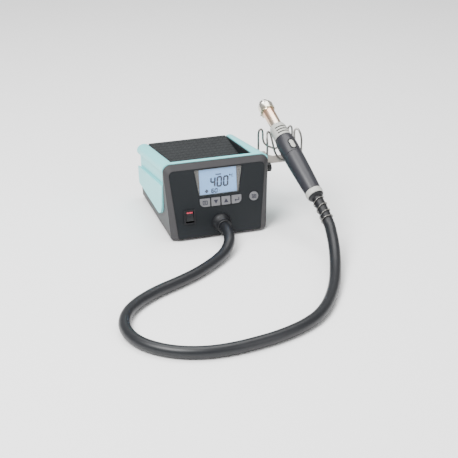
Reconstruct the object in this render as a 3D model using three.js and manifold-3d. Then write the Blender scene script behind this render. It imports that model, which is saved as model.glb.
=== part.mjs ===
// Hot air rework station: bench unit, side holder, hot air handset and air hose.
// Millimetres, +Z up, -Y is the front. The station is drawn about its own centre line,
// and the last lines move the whole model so that its origin is the middle of its footprint.
import * as THREE from 'three';
import { mergeVertices } from 'three/addons/utils/BufferGeometryUtils.js';
import Module from 'manifold-3d';

const wasm = await Module();
wasm.setup();

// ---- driving dimensions ----------------------------------------------------------------
const GAP = 0.3; // clearance between neighbouring pieces
const WALL = 2.5; // moulded wall

const FOOT_HEIGHT = 3; // the housing stands this far above the bench
const RIM_TOP_Y = 13.4; // the front rim leans back to here at its top
const RIM_TOP_Z = 100.3;
const LEAN = RIM_TOP_Y / (RIM_TOP_Z - FOOT_HEIGHT); // run over rise of the leaning front
const LEAN_ANGLE = Math.atan(LEAN);
const TOP_SLOPE = 0.171; // fall of the top over each millimetre of depth
const FACE_PROUD = 4.5; // the front panel stands this far in front of the rim
const BACK_Y = 149; // rear end of the covers
const HALF_BOTTOM = 63.5; // half width at the base
const SIDE_FLARE = 0.0565; // half width gained for each millimetre of height

const TRAY_HALF = 55.9; // left edge of the tool tray opening, from the centre line
const TRAY_RIGHT = [51.4, 56.8]; // right edge of the opening at its front and at the back
const TRAY_FRONT_Y = 24;
const MAT_Z = 78.1; // top of the rubber mat, which lies level
const SPLIT_Z = 22.5; // height of the split between base and cover at the sides

const HOSE_RADIUS = 7;
const GLAND = { x: 2.7, y: -16, z: 19.1 };
const GLAND_HOLE = 8.8; // radius of its hole in the front panel

const CRADLE_X = 100.5; // centre line of the holder
const PLATE_Z = 77.5; // top face of the holder plate
const WIRE_RADIUS = 1.3;

const TOOL_AT = [100.5, 40, 105.5]; // point of the handset axis over the front cradle
const TOOL_TILT = THREE.MathUtils.degToRad(29.1);
const TOOL_YAW = THREE.MathUtils.degToRad(9);

const ORIGIN_X = 28.7; // middle of the footprint, measured from the station's centre line
const ORIGIN_Y = 33.76;

// ---- materials -------------------------------------------------------------------------
const paint = (color, roughness, metalness = 0) => () =>
  new THREE.MeshStandardMaterial({ color, roughness, metalness });
const TEAL = paint(0xbfe6e4, 0.45);
const ANTHRACITE = paint(0x55585b, 0.6);
const PANEL_BLACK = paint(0x2d3235, 0.5);
const RUBBER = paint(0x33383a, 0.85);
const KEY_GREY = paint(0xafafb2, 0.55);
const LENS = paint(0x9db8c8, 0.15);
const LCD_BLUE = paint(0x9bbedc, 0.3);
const CIRCUIT = paint(0x2f6b46, 0.6);
const STEEL = paint(0xb9b6ae, 0.3, 0.9);
const HOT_STEEL = paint(0xc9a58a, 0.3, 0.9);
const PLATE_GREY = paint(0xbeb6af, 0.45, 0.3);
const HANDLE_GREY = paint(0x4b4b52, 0.5);
const LIGHT_GREY = paint(0xcdcdc8, 0.5);
const BLACK = paint(0x1c1d1f, 0.6);
const COPPER = paint(0xb06a3c, 0.4, 0.8);
const CERAMIC = paint(0xe4ddcf, 0.8);
const FOAM = paint(0x3f4346, 0.95);

// ---- geometry helpers ------------------------------------------------------------------
const v3 = (x, y, z) => new THREE.Vector3(x, y, z);

function toSolid(geometry) {
  const bare = geometry.clone();
  bare.deleteAttribute('normal');
  bare.deleteAttribute('uv');
  const merged = mergeVertices(bare, 1e-4);
  return new wasm.Manifold(new wasm.Mesh({
    numProp: 3,
    vertProperties: new Float32Array(merged.attributes.position.array),
    triVerts: new Uint32Array(merged.index.array),
  }));
}

function toGeometry(solid) {
  const mesh = solid.getMesh();
  const geometry = new THREE.BufferGeometry();
  geometry.setAttribute('position', new THREE.BufferAttribute(mesh.vertProperties, 3));
  geometry.setIndex(new THREE.BufferAttribute(mesh.triVerts, 1));
  geometry.computeVertexNormals();
  return geometry;
}

// first geometry, less or plus all the others
const cut = (first, ...rest) =>
  toGeometry(rest.reduce((solid, tool) => solid.subtract(toSolid(tool)), toSolid(first)));
const join = (first, ...rest) =>
  toGeometry(rest.reduce((solid, more) => solid.add(toSolid(more)), toSolid(first)));
const overlap = (first, second) => toGeometry(toSolid(first).intersect(toSolid(second)));

const box = (x0, x1, y0, y1, z0, z1) =>
  new THREE.BoxGeometry(x1 - x0, y1 - y0, z1 - z0)
    .translate((x0 + x1) / 2, (y0 + y1) / 2, (z0 + z1) / 2);

// closed body through rings of equal length, the first and last ring closed by flat caps
function loft(rings, flat = (p) => new THREE.Vector2(p.x, p.z)) {
  const count = rings[0].length;
  const points = rings.flat();
  const faces = [];
  for (let r = 0; r < rings.length - 1; r += 1) {
    for (let i = 0; i < count; i += 1) {
      const a = r * count + i;
      const b = r * count + ((i + 1) % count);
      faces.push([a, b, b + count], [a, b + count, a + count]);
    }
  }
  const outline = rings[0].map(flat);
  const last = (rings.length - 1) * count;
  const anticlockwise = THREE.ShapeUtils.area(outline) > 0;
  THREE.ShapeUtils.triangulateShape(outline, []).forEach(([a, b, c]) => {
    const [p, q] = anticlockwise ? [c, b] : [b, c];
    faces.push([a, p, q], [last + a, last + q, last + p]);
  });
  const volume = faces.reduce((sum, [a, b, c]) =>
    sum + points[a].dot(points[b].clone().cross(points[c])), 0);
  const index = faces.flatMap(([a, b, c]) => (volume > 0 ? [a, b, c] : [a, c, b]));
  const geometry = new THREE.BufferGeometry();
  const numbers = points.flatMap((p) => [p.x, p.y, p.z]);
  geometry.setAttribute('position', new THREE.Float32BufferAttribute(numbers, 3));
  geometry.setIndex(index);
  return geometry;
}

// block between two depths from x0 to right(y), whose top height changes from front to back
const wedge = (x0, right, y0, y1, bottom, tops) => loft([[y0, tops[0]], [y1, tops[1]]].map(
  ([y, z]) => [v3(x0, y, bottom), v3(right(y), y, bottom), v3(right(y), y, z), v3(x0, y, z)]));

const asShape = (outline) => (outline instanceof THREE.Shape
  ? outline : new THREE.Shape(outline.map(([x, y]) => new THREE.Vector2(x, y))));
const prism = (outline, depth) =>
  new THREE.ExtrudeGeometry(asShape(outline), { depth, bevelEnabled: false, curveSegments: 4 });

// outline drawn in Y and Z, extruded along X from x0 to x1
const sidePrism = (outline, x0, x1) =>
  prism(outline, x1 - x0).rotateX(Math.PI / 2).rotateZ(Math.PI / 2).translate(x0, 0, 0);

// outline drawn in X and Z, extruded along Y from y0 to y1
const frontPrism = (outline, y0, y1) =>
  prism(outline, y1 - y0).rotateX(Math.PI / 2).translate(0, y1, 0);

// turned body about Y from [radius, y] points, listed either way round
function turned(profile, segments = 24) {
  const points = profile.map(([r, y]) => new THREE.Vector2(r, y));
  if (THREE.ShapeUtils.area(points) < 0) points.reverse();
  return new THREE.LatheGeometry(points, segments);
}

const rodX = (radius, x0, x1, y, z, segments = 20) =>
  new THREE.CylinderGeometry(radius, radius, x1 - x0, segments)
    .rotateZ(Math.PI / 2).translate((x0 + x1) / 2, y, z);
const rodY = (radius, y0, y1, x, z, segments = 20) =>
  new THREE.CylinderGeometry(radius, radius, y1 - y0, segments).translate(x, (y0 + y1) / 2, z);
const rodZ = (radius, z0, z1, x, y, segments = 20) =>
  new THREE.CylinderGeometry(radius, radius, z1 - z0, segments)
    .rotateX(Math.PI / 2).translate(x, y, (z0 + z1) / 2);

// rectangle with a corner radius for each corner, from bottom left anticlockwise
function roundedOutline(x0, x1, z0, z1, radii) {
  const r = Array.isArray(radii) ? radii : [radii, radii, radii, radii];
  const shape = new THREE.Shape();
  shape.moveTo(x0 + r[0], z0);
  shape.lineTo(x1 - r[1], z0);
  if (r[1]) shape.absarc(x1 - r[1], z0 + r[1], r[1], -Math.PI / 2, 0);
  shape.lineTo(x1, z1 - r[2]);
  if (r[2]) shape.absarc(x1 - r[2], z1 - r[2], r[2], 0, Math.PI / 2);
  shape.lineTo(x0 + r[3], z1);
  if (r[3]) shape.absarc(x0 + r[3], z1 - r[3], r[3], Math.PI / 2, Math.PI);
  shape.lineTo(x0, z0 + r[0]);
  if (r[0]) shape.absarc(x0 + r[0], z0 + r[0], r[0], Math.PI, 1.5 * Math.PI);
  return shape;
}

const circleShape = (radius, sides) => new THREE.Shape(Array.from({ length: sides }, (_, i) => {
  const angle = (2 * Math.PI * i) / sides;
  return new THREE.Vector2(radius * Math.cos(angle), radius * Math.sin(angle));
}));

const tube = (curve, radius, sides, steps) => new THREE.ExtrudeGeometry(
  circleShape(radius, sides), { extrudePath: curve, steps, bevelEnabled: false });

const smoothPath = (points) =>
  new THREE.CatmullRomCurve3(points.map(([x, y, z]) => v3(x, y, z)), false, 'centripetal');

// ---- scene graph helpers ---------------------------------------------------------------
const model = new THREE.Group();

function add(parent, name, material, geometry) {
  const mesh = new THREE.Mesh(geometry, material());
  mesh.name = name;
  parent.add(mesh);
  return mesh;
}

// ---- station envelope ------------------------------------------------------------------
const topZ = (y) => RIM_TOP_Z - (y - RIM_TOP_Y) * TOP_SLOPE;
const halfWidth = (z) => HALF_BOTTOM + (z - FOOT_HEIGHT) * SIDE_FLARE;
const trayRight = (y) => THREE.MathUtils.mapLinear(y, TRAY_FRONT_Y, BACK_Y, ...TRAY_RIGHT);
const leanY = (z, offset) => (z - FOOT_HEIGHT) * LEAN + offset;

// right half of a cross-section at depth y, from bottom to top, then mirrored
function mirroredRing(y, half) {
  const right = half.map(([x, z]) => v3(x, y, z));
  const left = half.slice().reverse().map(([x, z]) => v3(-x, y, z));
  return [...right, ...left];
}

// cover section: side panel, undercut finger groove and rounded rail
function coverHalf(y) {
  const top = topZ(y);
  return [
    [68, SPLIT_Z], [68.7, top - 40], [68.9, top - 31.2], [68.5, top - 30], [67.6, top - 29.7],
    [66, top - 30.9], [64.9, top - 31], [64.8, top - 27.5],
    [65, top - 16], [65.5, top - 14.2], [68.2, top - 12], [69.5, top - 9.4], [69.6, top - 7],
    [68.9, top - 4.2], [67.2, top - 1.9], [64.5, top - 0.2], [61.4, top + 0.7], [58.6, top + 0.6],
    [TRAY_HALF, top],
  ];
}

// plain wedge section with a rounded shoulder, for the base housing
function bodyHalf(y) {
  const top = topZ(y);
  const shoulder = Array.from({ length: 5 }, (_, i) => {
    const angle = (Math.PI / 8) * i;
    return [halfWidth(top) - 9.5 + 9.5 * Math.cos(angle), top - 9.5 + 9.5 * Math.sin(angle)];
  });
  return [[HALF_BOTTOM - 1.5, FOOT_HEIGHT], [HALF_BOTTOM, FOOT_HEIGHT + 1.5], ...shoulder];
}

const hollow = (y0, y1, half, floor, roofDrop) => loft([y0, y1].map((y) => mirroredRing(y, [
  [half, floor], [half, topZ(y) - roofDrop],
])));

// side outline of everything the cover takes: front edge, rounded tongue and straight lower edge
function coverSide(gap) {
  const tongue = new THREE.Shape();
  tongue.moveTo(RIM_TOP_Y + 0.6 + gap, RIM_TOP_Z + 8);
  tongue.lineTo(RIM_TOP_Y + 0.6 + gap, RIM_TOP_Z - 5);
  tongue.lineTo(25 + gap, 46);
  tongue.quadraticCurveTo(28 + gap, SPLIT_Z + gap, 50 + gap, SPLIT_Z + gap);
  tongue.lineTo(BACK_Y + 20, SPLIT_Z + gap);
  tongue.lineTo(BACK_Y + 20, RIM_TOP_Z + 8);
  return tongue;
}

// ---- front face frame: x across, y into the housing, z up the leaning panel ------------
const face = new THREE.Group();
face.position.set(0, -FACE_PROUD, FOOT_HEIGHT);
face.rotation.x = -LEAN_ANGLE;
model.add(face);
face.updateMatrix();
const onFace = (geometry) => geometry.clone().applyMatrix4(face.matrix);

const PANEL_HALF_BOTTOM = 55;
const PANEL_HALF_TOP = 63;
const PANEL_HEIGHT = 90;
const PANEL_THICKNESS = 2.4;

// trapezoid outline with rounded corners: half widths and corner radii at bottom and top
function trapezoid(bottom, top, halfBottom, halfTop, bottomRadius, topRadius) {
  const corners = [
    [halfBottom - bottomRadius, bottom + bottomRadius, bottomRadius, -Math.PI / 2],
    [halfTop - topRadius, top - topRadius, topRadius, 0],
    [-(halfTop - topRadius), top - topRadius, topRadius, Math.PI / 2],
    [-(halfBottom - bottomRadius), bottom + bottomRadius, bottomRadius, Math.PI],
  ];
  return corners.flatMap(([x, z, radius, from]) => Array.from({ length: 5 }, (_, i) => {
    const angle = from + (Math.PI / 8) * i;
    return [x + radius * Math.cos(angle), z + radius * Math.sin(angle)];
  }));
}

const panelOutline = (inset) => trapezoid(
  1.2 + inset, PANEL_HEIGHT - inset, PANEL_HALF_BOTTOM - inset, PANEL_HALF_TOP - inset, 3, 6);
const RIM_HEIGHT = (RIM_TOP_Z - FOOT_HEIGHT) / Math.cos(LEAN_ANGLE);
const rimOutline = () => trapezoid(0, RIM_HEIGHT, HALF_BOTTOM, halfWidth(RIM_TOP_Z), 3, 9.5);

const atDepth = (outline, depth) => outline.map(([x, z]) => v3(x, depth, z));

// ---- station housing -------------------------------------------------------------------
const SCREW_SPOTS = [[-56, 34], [56, 34], [-56, 137.5], [56, 137.5]];
const FOOT_X = 52;
const FLOOR_TOP = FOOT_HEIGHT + WALL;
const TURBINE = { x: 22, y: 74, radius: 29 };

function baseHousing() {
  const front = 2;
  const body = cut(
    loft([front, BACK_Y].map((y) => mirroredRing(y, bodyHalf(y)))),
    onFace(box(-100, 100, -60, FACE_PROUD + 5, -30, 140)),
  );
  const bezel = onFace(loft([
    atDepth(panelOutline(-GAP), 0), atDepth(rimOutline(), FACE_PROUD),
    atDepth(rimOutline(), FACE_PROUD + 6),
  ]));
  const cavity = cut(
    hollow(-10, BACK_Y + 5, 60.5, FLOOR_TOP, WALL), onFace(box(-100, 100, -60, 8, -30, 140)));
  const shell = cut(
    join(body, bezel),
    cavity,
    onFace(loft([atDepth(panelOutline(0), -1), atDepth(panelOutline(0), PANEL_THICKNESS + GAP)])),
    onFace(loft([atDepth(panelOutline(1.5), 1), atDepth(panelOutline(1.5), 12)])),
    sidePrism(coverSide(-GAP), -100, 100),
  );
  const bosses = SCREW_SPOTS.map(([x, y]) => rodZ(4, FOOT_HEIGHT + 1, 19, x, y, 12));
  const holes = SCREW_SPOTS.flatMap(([x, y]) =>
    [rodZ(1.8, 0, 30, x, y, 8), rodZ(3.8, 0, 6.5, x, y, 12)]);
  const vents = Array.from({ length: 6 }, (_, i) => {
    const x = TURBINE.x - 15 + i * 6;
    return box(x - 1.5, x + 1.5, TURBINE.y - 14, TURBINE.y + 14, 0, FLOOR_TOP + 1);
  });
  return cut(join(shell, ...bosses), ...holes, ...vents);
}

function topCover() {
  const outer = loft([5, BACK_Y].map((y) => mirroredRing(y, coverHalf(y))));
  return cut(
    overlap(outer, sidePrism(coverSide(0), -100, 100)),
    hollow(0, BACK_Y + 1, 62.2, -10, WALL),
    wedge(-TRAY_HALF, trayRight, TRAY_FRONT_Y, BACK_Y + 1, 0, [120, 120]),
    rodX(3, 60, 75, CLAMP.y, CLAMP.z),
  );
}

function toolTray() {
  const y0 = TRAY_FRONT_Y + GAP;
  const wall = 1.8;
  const floor = MAT_Z - 2.6;
  const inside = (inset) => (y) => trayRight(y) - GAP - inset;
  return cut(
    wedge(GAP - TRAY_HALF, inside(0), y0, BACK_Y, floor - 2, [topZ(y0) - 0.8, floor + 0.4]),
    wedge(GAP + wall - TRAY_HALF, inside(wall), y0 + wall, BACK_Y + 4, floor, [130, 130]),
  );
}

function trayMat() {
  const edge = GAP + 2.1;
  return wedge(edge - TRAY_HALF, (y) => trayRight(y) - edge, TRAY_FRONT_Y + edge, BACK_Y - 0.4,
    MAT_Z - 2.2, [MAT_Z, MAT_Z]);
}

const REAR_Y = 142.6;
const REAR_THICKNESS = 2.6;
const INLET = { x: -32, z: 34 };
const EARTH = { x: 6, z: 26 };
const FILTER = { x: 36, z: 38, radius: 15 };

function rearPanel() {
  return cut(
    box(-60.2, 60.2, REAR_Y, REAR_Y + REAR_THICKNESS, FLOOR_TOP + GAP, 70.6),
    box(INLET.x - 14.3, INLET.x + 14.3, 130, 150, INLET.z - 17.3, INLET.z + 17.3),
    rodY(4.3, 130, 150, EARTH.x, EARTH.z),
    rodY(FILTER.radius - 2.5, 130, 150, FILTER.x, FILTER.z, 24),
    ...Array.from({ length: 5 }, (_, i) => box(-4 + i * 7, -1 + i * 7, 130, 150, 58, 66)),
  );
}

// ---- front panel and its controls ------------------------------------------------------
const WINDOW = { x: 1.5, bottom: 54, top: 88, halfBottom: 26, halfTop: 31.6 };
const LCD = { x: 1, z: 71.2, width: 49, height: 33.4 };
const KEY_BOTTOM = 39.6;
const KEY_TOP = 50.4;
const CAP_PROUD = 1.3; // keys and button stand this far out of the panel
const KEYS = [
  ['key_menu', -24.5, -11.4], ['key_down', -9.6, 2], ['key_up', 3.8, 15.4], ['key_enter', 17.2, 30.2],
];
const AIR_BUTTON = { x: 47, z: 46, radius: 5.8 };
const SWITCH = { x: -38.8, z: 28.9, width: 15, height: 18.6 };
const SWITCH_FLANGE = 1.1; // its flange overlaps the panel by this much

const windowOutline = (grow) => [
  [WINDOW.x - WINDOW.halfBottom - grow, WINDOW.bottom - grow],
  [WINDOW.x + WINDOW.halfBottom + grow, WINDOW.bottom - grow],
  [WINDOW.x + WINDOW.halfTop + grow, WINDOW.top + grow],
  [WINDOW.x - WINDOW.halfTop - grow, WINDOW.top + grow],
];

// outer keys have one large rounded lower corner
function keyShape(name, x0, x1, grow) {
  const lowerLeft = name === 'key_menu' ? 6 : 0;
  const lowerRight = name === 'key_enter' ? 6 : 0;
  return roundedOutline(x0 - grow, x1 + grow, KEY_BOTTOM - grow, KEY_TOP + grow,
    [lowerLeft, lowerRight, 0, 0]);
}

const rimBox = (spec, grow, y0, y1) => box(
  spec.x - spec.width / 2 - grow, spec.x + spec.width / 2 + grow, y0, y1,
  spec.z - spec.height / 2 - grow, spec.z + spec.height / 2 + grow);

function frontPanel() {
  const blank = loft([atDepth(panelOutline(GAP), 0), atDepth(panelOutline(GAP), PANEL_THICKNESS)]);
  const gland = rodY(GLAND_HOLE, -30, 30, GLAND.x, GLAND.z - FOOT_HEIGHT + 0.3, 28);
  return cut(
    blank,
    frontPrism(windowOutline(GAP), -5, 10),
    ...KEYS.map(([name, x0, x1]) => frontPrism(keyShape(name, x0, x1, GAP), -5, 10)),
    rodY(AIR_BUTTON.radius + GAP, -5, 10, AIR_BUTTON.x, AIR_BUTTON.z, 28),
    rimBox(SWITCH, -SWITCH_FLANGE, -5, 10),
    gland,
  );
}

function addControls() {
  add(face, 'front_panel', PANEL_BLACK, frontPanel());
  add(face, 'display_window', LENS, frontPrism(windowOutline(0), 0.3, 1.8));
  add(face, 'lcd_module', LCD_BLUE, box(
    LCD.x - LCD.width / 2, LCD.x + LCD.width / 2, 2.4, 6, LCD.z - LCD.height / 2, LCD.z + LCD.height / 2));
  add(face, 'display_board', CIRCUIT, box(-29, 58, 12.2, 13.8, 36, 84));
  KEYS.forEach(([name, x0, x1]) => {
    const cap = frontPrism(keyShape(name, x0, x1, 0), -CAP_PROUD, 5);
    const flange = box(x0 - 0.6, x1 + 0.6, 4.2, 5.6, KEY_BOTTOM - 0.6, KEY_TOP + 0.6);
    add(face, name, KEY_GREY, join(cap, flange));
  });
  add(face, 'air_button', KEY_GREY, join(
    rodY(AIR_BUTTON.radius, -CAP_PROUD, 5, AIR_BUTTON.x, AIR_BUTTON.z, 28),
    rodY(AIR_BUTTON.radius + 1.2, 4.2, 5.6, AIR_BUTTON.x, AIR_BUTTON.z, 28),
  ));
  const housing = join(rimBox(SWITCH, 0, -1.4, -GAP), rimBox(SWITCH, -1.5, -1, 18));
  const well = box(SWITCH.x - 5.4, SWITCH.x + 5.4, -6, 12, SWITCH.z - 7.6, SWITCH.z + 7.6);
  add(face, 'switch_housing', BLACK, cut(housing, well));
}

// rocker: a shallow V whose upper half is pressed in when the station is on
const ROCKER_HALF = 6.2;
const ROCKER_TILT = THREE.MathUtils.degToRad(10);

function addRocker() {
  const pivot = new THREE.Group();
  pivot.position.set(SWITCH.x, 4.5, SWITCH.z);
  pivot.rotation.x = -ROCKER_TILT;
  face.add(pivot);
  const profile = [
    [-6.2, -ROCKER_HALF], [-5.2, 0], [-6.2, ROCKER_HALF], [-1, ROCKER_HALF], [3.2, 0],
    [-1, -ROCKER_HALF],
  ];
  add(pivot, 'power_rocker', BLACK, sidePrism(profile, -4.9, 4.9));
}

// ---- air outlet ------------------------------------------------------------------------
function addGland() {
  const group = new THREE.Group();
  group.position.set(GLAND.x, 0, GLAND.z);
  model.add(group);
  const bore = HOSE_RADIUS - 2.4;
  const bell = turned([
    [bore, GLAND.y], [8.6, GLAND.y], [9.1, GLAND.y + 1], [9.1, GLAND.y + 3.4], [8.4, GLAND.y + 4.2],
    [9.2, -9.5], [10.6, -6.6], [12.2, -3.6], [12.7, 0], [12.7, 4], [bore, 4], [bore, GLAND.y],
  ], 24);
  const barrel = turned([[bore, -6], [8, -6], [8, 9], [bore, 9], [bore, -6]], 24);
  const behindPanel = onFace(box(-60, 60, -GAP, 40, -20, 80)).translate(-GLAND.x, 0, -GLAND.z);
  add(group, 'hose_gland', BLACK, join(cut(bell, behindPanel), barrel));
  add(group, 'gland_nut', BLACK, cut(rodY(11.5, 3.2, 8, 0, 0, 6), rodY(8.3, 0, 20, 0, 0, 24)));
}

// ---- inside the station ----------------------------------------------------------------
const ductStart = v3(GLAND.x, 40, 24);

function addInternals() {
  const { x, y, radius } = TURBINE;
  const z0 = 8;
  const z1 = 40;
  add(model, 'turbine_housing', BLACK, cut(
    join(rodZ(radius, z0, z1, x, y, 28), rodY(8, ductStart.y + GAP, y, ductStart.x, ductStart.z, 16)),
    rodZ(radius - 2.2, z0 + 2.2, z1 - 2.2, x, y, 28),
    rodY(6.5, ductStart.y - 1, y, ductStart.x, ductStart.z, 16),
    rodZ(12, 0, z0 + 3, x, y, 16),
    rodZ(4, z1 - 3, z1 + 1, x, y, 12),
  ));
  const blades = Array.from({ length: 8 }, (_, i) =>
    box(6, 24, -0.8, 0.8, 13, 30).rotateZ((i * Math.PI) / 4 + 0.05).translate(x, y, 0));
  add(model, 'turbine_impeller', KEY_GREY, join(
    rodZ(25, 30, 32, x, y, 24), rodZ(6.5, 14, 31, x, y, 12), rodZ(2.5, 30, 52, x, y, 10), ...blades));
  add(model, 'turbine_motor', STEEL, cut(
    join(rodZ(16, 40.4, 62, x, y, 20), rodZ(6, 61, 66, x, y, 12)), rodZ(3, 30, 54, x, y, 12)));
  add(model, 'air_duct', RUBBER, new THREE.ExtrudeGeometry(ringShape(7.8, 6.2, 12), {
    extrudePath: smoothPath([
      [GLAND.x, ductStart.y, ductStart.z], [GLAND.x, 36, ductStart.z],
      [GLAND.x, 14, GLAND.z], [GLAND.x, 9 + GAP, GLAND.z],
    ]),
    steps: 5, bevelEnabled: false,
  }));
  const [bossX, bossY] = SCREW_SPOTS[0];
  add(model, 'main_board', CIRCUIT, cut(box(-58, -14, 26, 88, 14, 15.6), rodZ(5, 0, 30, bossX, bossY, 16)));
  add(model, 'transformer', COPPER, join(
    box(-56, -10, 98, 132, 8, 46), box(-50, -16, 92, 137, 14, 40)));
  add(model, 'mains_inlet', BLACK, cut(
    join(
      box(INLET.x - 17, INLET.x + 17, REAR_Y + REAR_THICKNESS + GAP, 148, INLET.z - 20, INLET.z + 20),
      box(INLET.x - 14, INLET.x + 14, 139, 146, INLET.z - 17, INLET.z + 17)),
    box(INLET.x - 11, INLET.x + 11, 140.5, 160, INLET.z - 3, INLET.z + 13),
    box(INLET.x - 11, INLET.x + 11, 140.5, 160, INLET.z - 13.5, INLET.z - 6.5),
  ));
  add(model, 'fuse_drawer', BLACK, join(
    box(INLET.x - 10.6, INLET.x + 10.6, 141, 148.4, INLET.z - 13.1, INLET.z - 6.9),
    box(INLET.x - 4, INLET.x + 4, 148, 149.4, INLET.z - 11, INLET.z - 9)));
  add(model, 'earth_socket', STEEL, turned([
    [2, -14], [4, -14], [4, 0], [6, 0], [6, 3.2], [2, 3.2], [2, -14],
  ], 20).translate(EARTH.x, REAR_Y + REAR_THICKNESS + GAP, EARTH.z));
  add(model, 'air_filter', FOAM, rodY(FILTER.radius, 134, REAR_Y - GAP, FILTER.x, FILTER.z, 20));
  const slots = Array.from({ length: 5 }, (_, i) => {
    const z = FILTER.z - 9.6 + i * 4.8;
    const reach = Math.sqrt(144 - (z - FILTER.z) ** 2);
    return box(FILTER.x - reach, FILTER.x + reach, 140, 150, z - 1, z + 1);
  });
  add(model, 'filter_cover', BLACK, cut(
    join(rodY(FILTER.radius + 1.5, REAR_Y + REAR_THICKNESS + GAP, 148, FILTER.x, FILTER.z, 24),
      rodY(FILTER.radius - 2.8, 143.4, 146, FILTER.x, FILTER.z, 24)), ...slots));
}

const ringShape = (outer, inner, sides) => {
  const shape = circleShape(outer, sides);
  shape.holes.push(circleShape(inner, sides));
  return shape;
};

function addFeetAndScrews() {
  SCREW_SPOTS.forEach(([x, y], i) => {
    const footY = y > 80 ? y - 14 : y + 14;
    const height = FOOT_HEIGHT - GAP;
    add(model, `rubber_foot_${i + 1}`, RUBBER,
      turned([[0, 0], [7.4, 0], [7.4, height], [0, height]], 16)
        .rotateX(Math.PI / 2).translate(Math.sign(x) * FOOT_X, footY, 0));
    add(model, `housing_screw_${i + 1}`, STEEL, join(
      rodZ(3.3, 4.2, 6.1, x, y, 12), rodZ(1.4, 5, 24, x, y, 8)));
  });
}

// ---- holder ----------------------------------------------------------------------------
const CLAMP = { y: 26.8, z: 75 };
const POST_X = 23.5;
const FRONT_FORM_Y = 37;
const REAR_FORM_Y = 72.6;

function addHolder() {
  const plateBottom = PLATE_Z - 1.5;
  const plan = (outline, z) => prism(outline, 1.5).translate(0, 0, z);
  const plate = join(
    plan([[70.4, 35], [127, 35], [127, 57], [92, 57], [87, 62], [87, 76], [70.4, 76]], plateBottom),
    box(70.4, 71.9, 20, 76, 68, PLATE_Z), box(70.4, 71.9, 20, 35, 68, 81));
  add(model, 'holder_plate', PLATE_GREY, cut(plate, rodX(2.8, 60, 80, CLAMP.y, CLAMP.z)));
  add(model, 'clamp_screw', STEEL, join(
    rodX(2.4, 56, 75, CLAMP.y, CLAMP.z, 16), rodX(5, 57, 60.5, CLAMP.y, CLAMP.z, 6)));
  add(model, 'clamp_knob', BLACK, cut(knurled(6, 6.5, 7).rotateZ(-Math.PI / 2)
    .translate(72.3, CLAMP.y, CLAMP.z), rodX(2.7, 60, 75.4, CLAMP.y, CLAMP.z, 16)));
  const front = [
    [POST_X, 0, 0.3], [POST_X, 0, 15], [POST_X, 0.4, 26], [POST_X - 0.7, 4, 34],
    [POST_X - 3.2, 8.4, 38.4], [POST_X - 6, 9.2, 37], [POST_X - 7.6, 7, 31.5], [15, 3, 23.5],
    [12.9, -1, 12.5], [8, -4, 4.4], [0, -5.5, 1.8],
  ];
  const rear = [
    [POST_X, 0, 0.3], [POST_X, 0, 14], [POST_X, 0, 27], [POST_X - 1, 0, 31],
    [POST_X - 3, 0, 32.6], [POST_X - 5, 0, 31], [POST_X - 6, 0, 26], [POST_X - 6.4, 0, 18],
    [POST_X - 9, 0, 11.5], [6, 0, 5.5], [0, 0, 3.4],
  ];
  add(model, 'cradle_front', STEEL, wireForm(front, FRONT_FORM_Y));
  add(model, 'cradle_rear', STEEL, wireForm(rear, REAR_FORM_Y));
}

// wire bent the same way on both sides of the holder's centre line
function wireForm(half, y) {
  const side = (sign) => half.map(([dx, dy, dz]) => [CRADLE_X + sign * dx, y + dy, PLATE_Z + dz]);
  const right = side(1);
  const left = side(-1).slice(0, -1).reverse();
  return tube(smoothPath([...right, ...left]), WIRE_RADIUS, 6, 40);
}

// knob with a scalloped edge, turned about Y from 0 to its height
function knurled(radius, height, lobes) {
  const outline = Array.from({ length: lobes * 6 }, (_, i) => {
    const angle = (2 * Math.PI * i) / (lobes * 6);
    const r = radius - 0.45 * (1 + Math.cos(lobes * angle));
    return [r * Math.cos(angle), r * Math.sin(angle)];
  });
  return frontPrism(outline, 0, height);
}

// ---- handset: +Y towards the nozzle, +Z towards the button -----------------------------
const tool = new THREE.Group();
tool.position.set(...TOOL_AT);
tool.rotation.set(TOOL_TILT, 0, TOOL_YAW, 'ZXY');
model.add(tool);

const BUTTON_Y = -18.5;
const SEAM_Y = -28.5; // the two halves of the handle meet here
const FRONT_Y = 1.1; // front end of the handle
const TAIL_Y = -101; // where the tail leaves the handle
const TAIL_LENGTH = 36;
const TAIL_BEND = 260; // radius of the tail's bend
const SLEEVE_RADIUS = 6.8;
const COIL_WIRE = 0.65;
const COIL_START = 1.2;
const COIL_TURNS = 3;
const COIL_PITCH = 10.3;
const CLOSED_PITCH = 2.6;

const tailPoint = (s) => v3(-(Math.max(s, 0) ** 2) / (2 * TAIL_BEND), TAIL_Y - s, 0);

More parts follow.
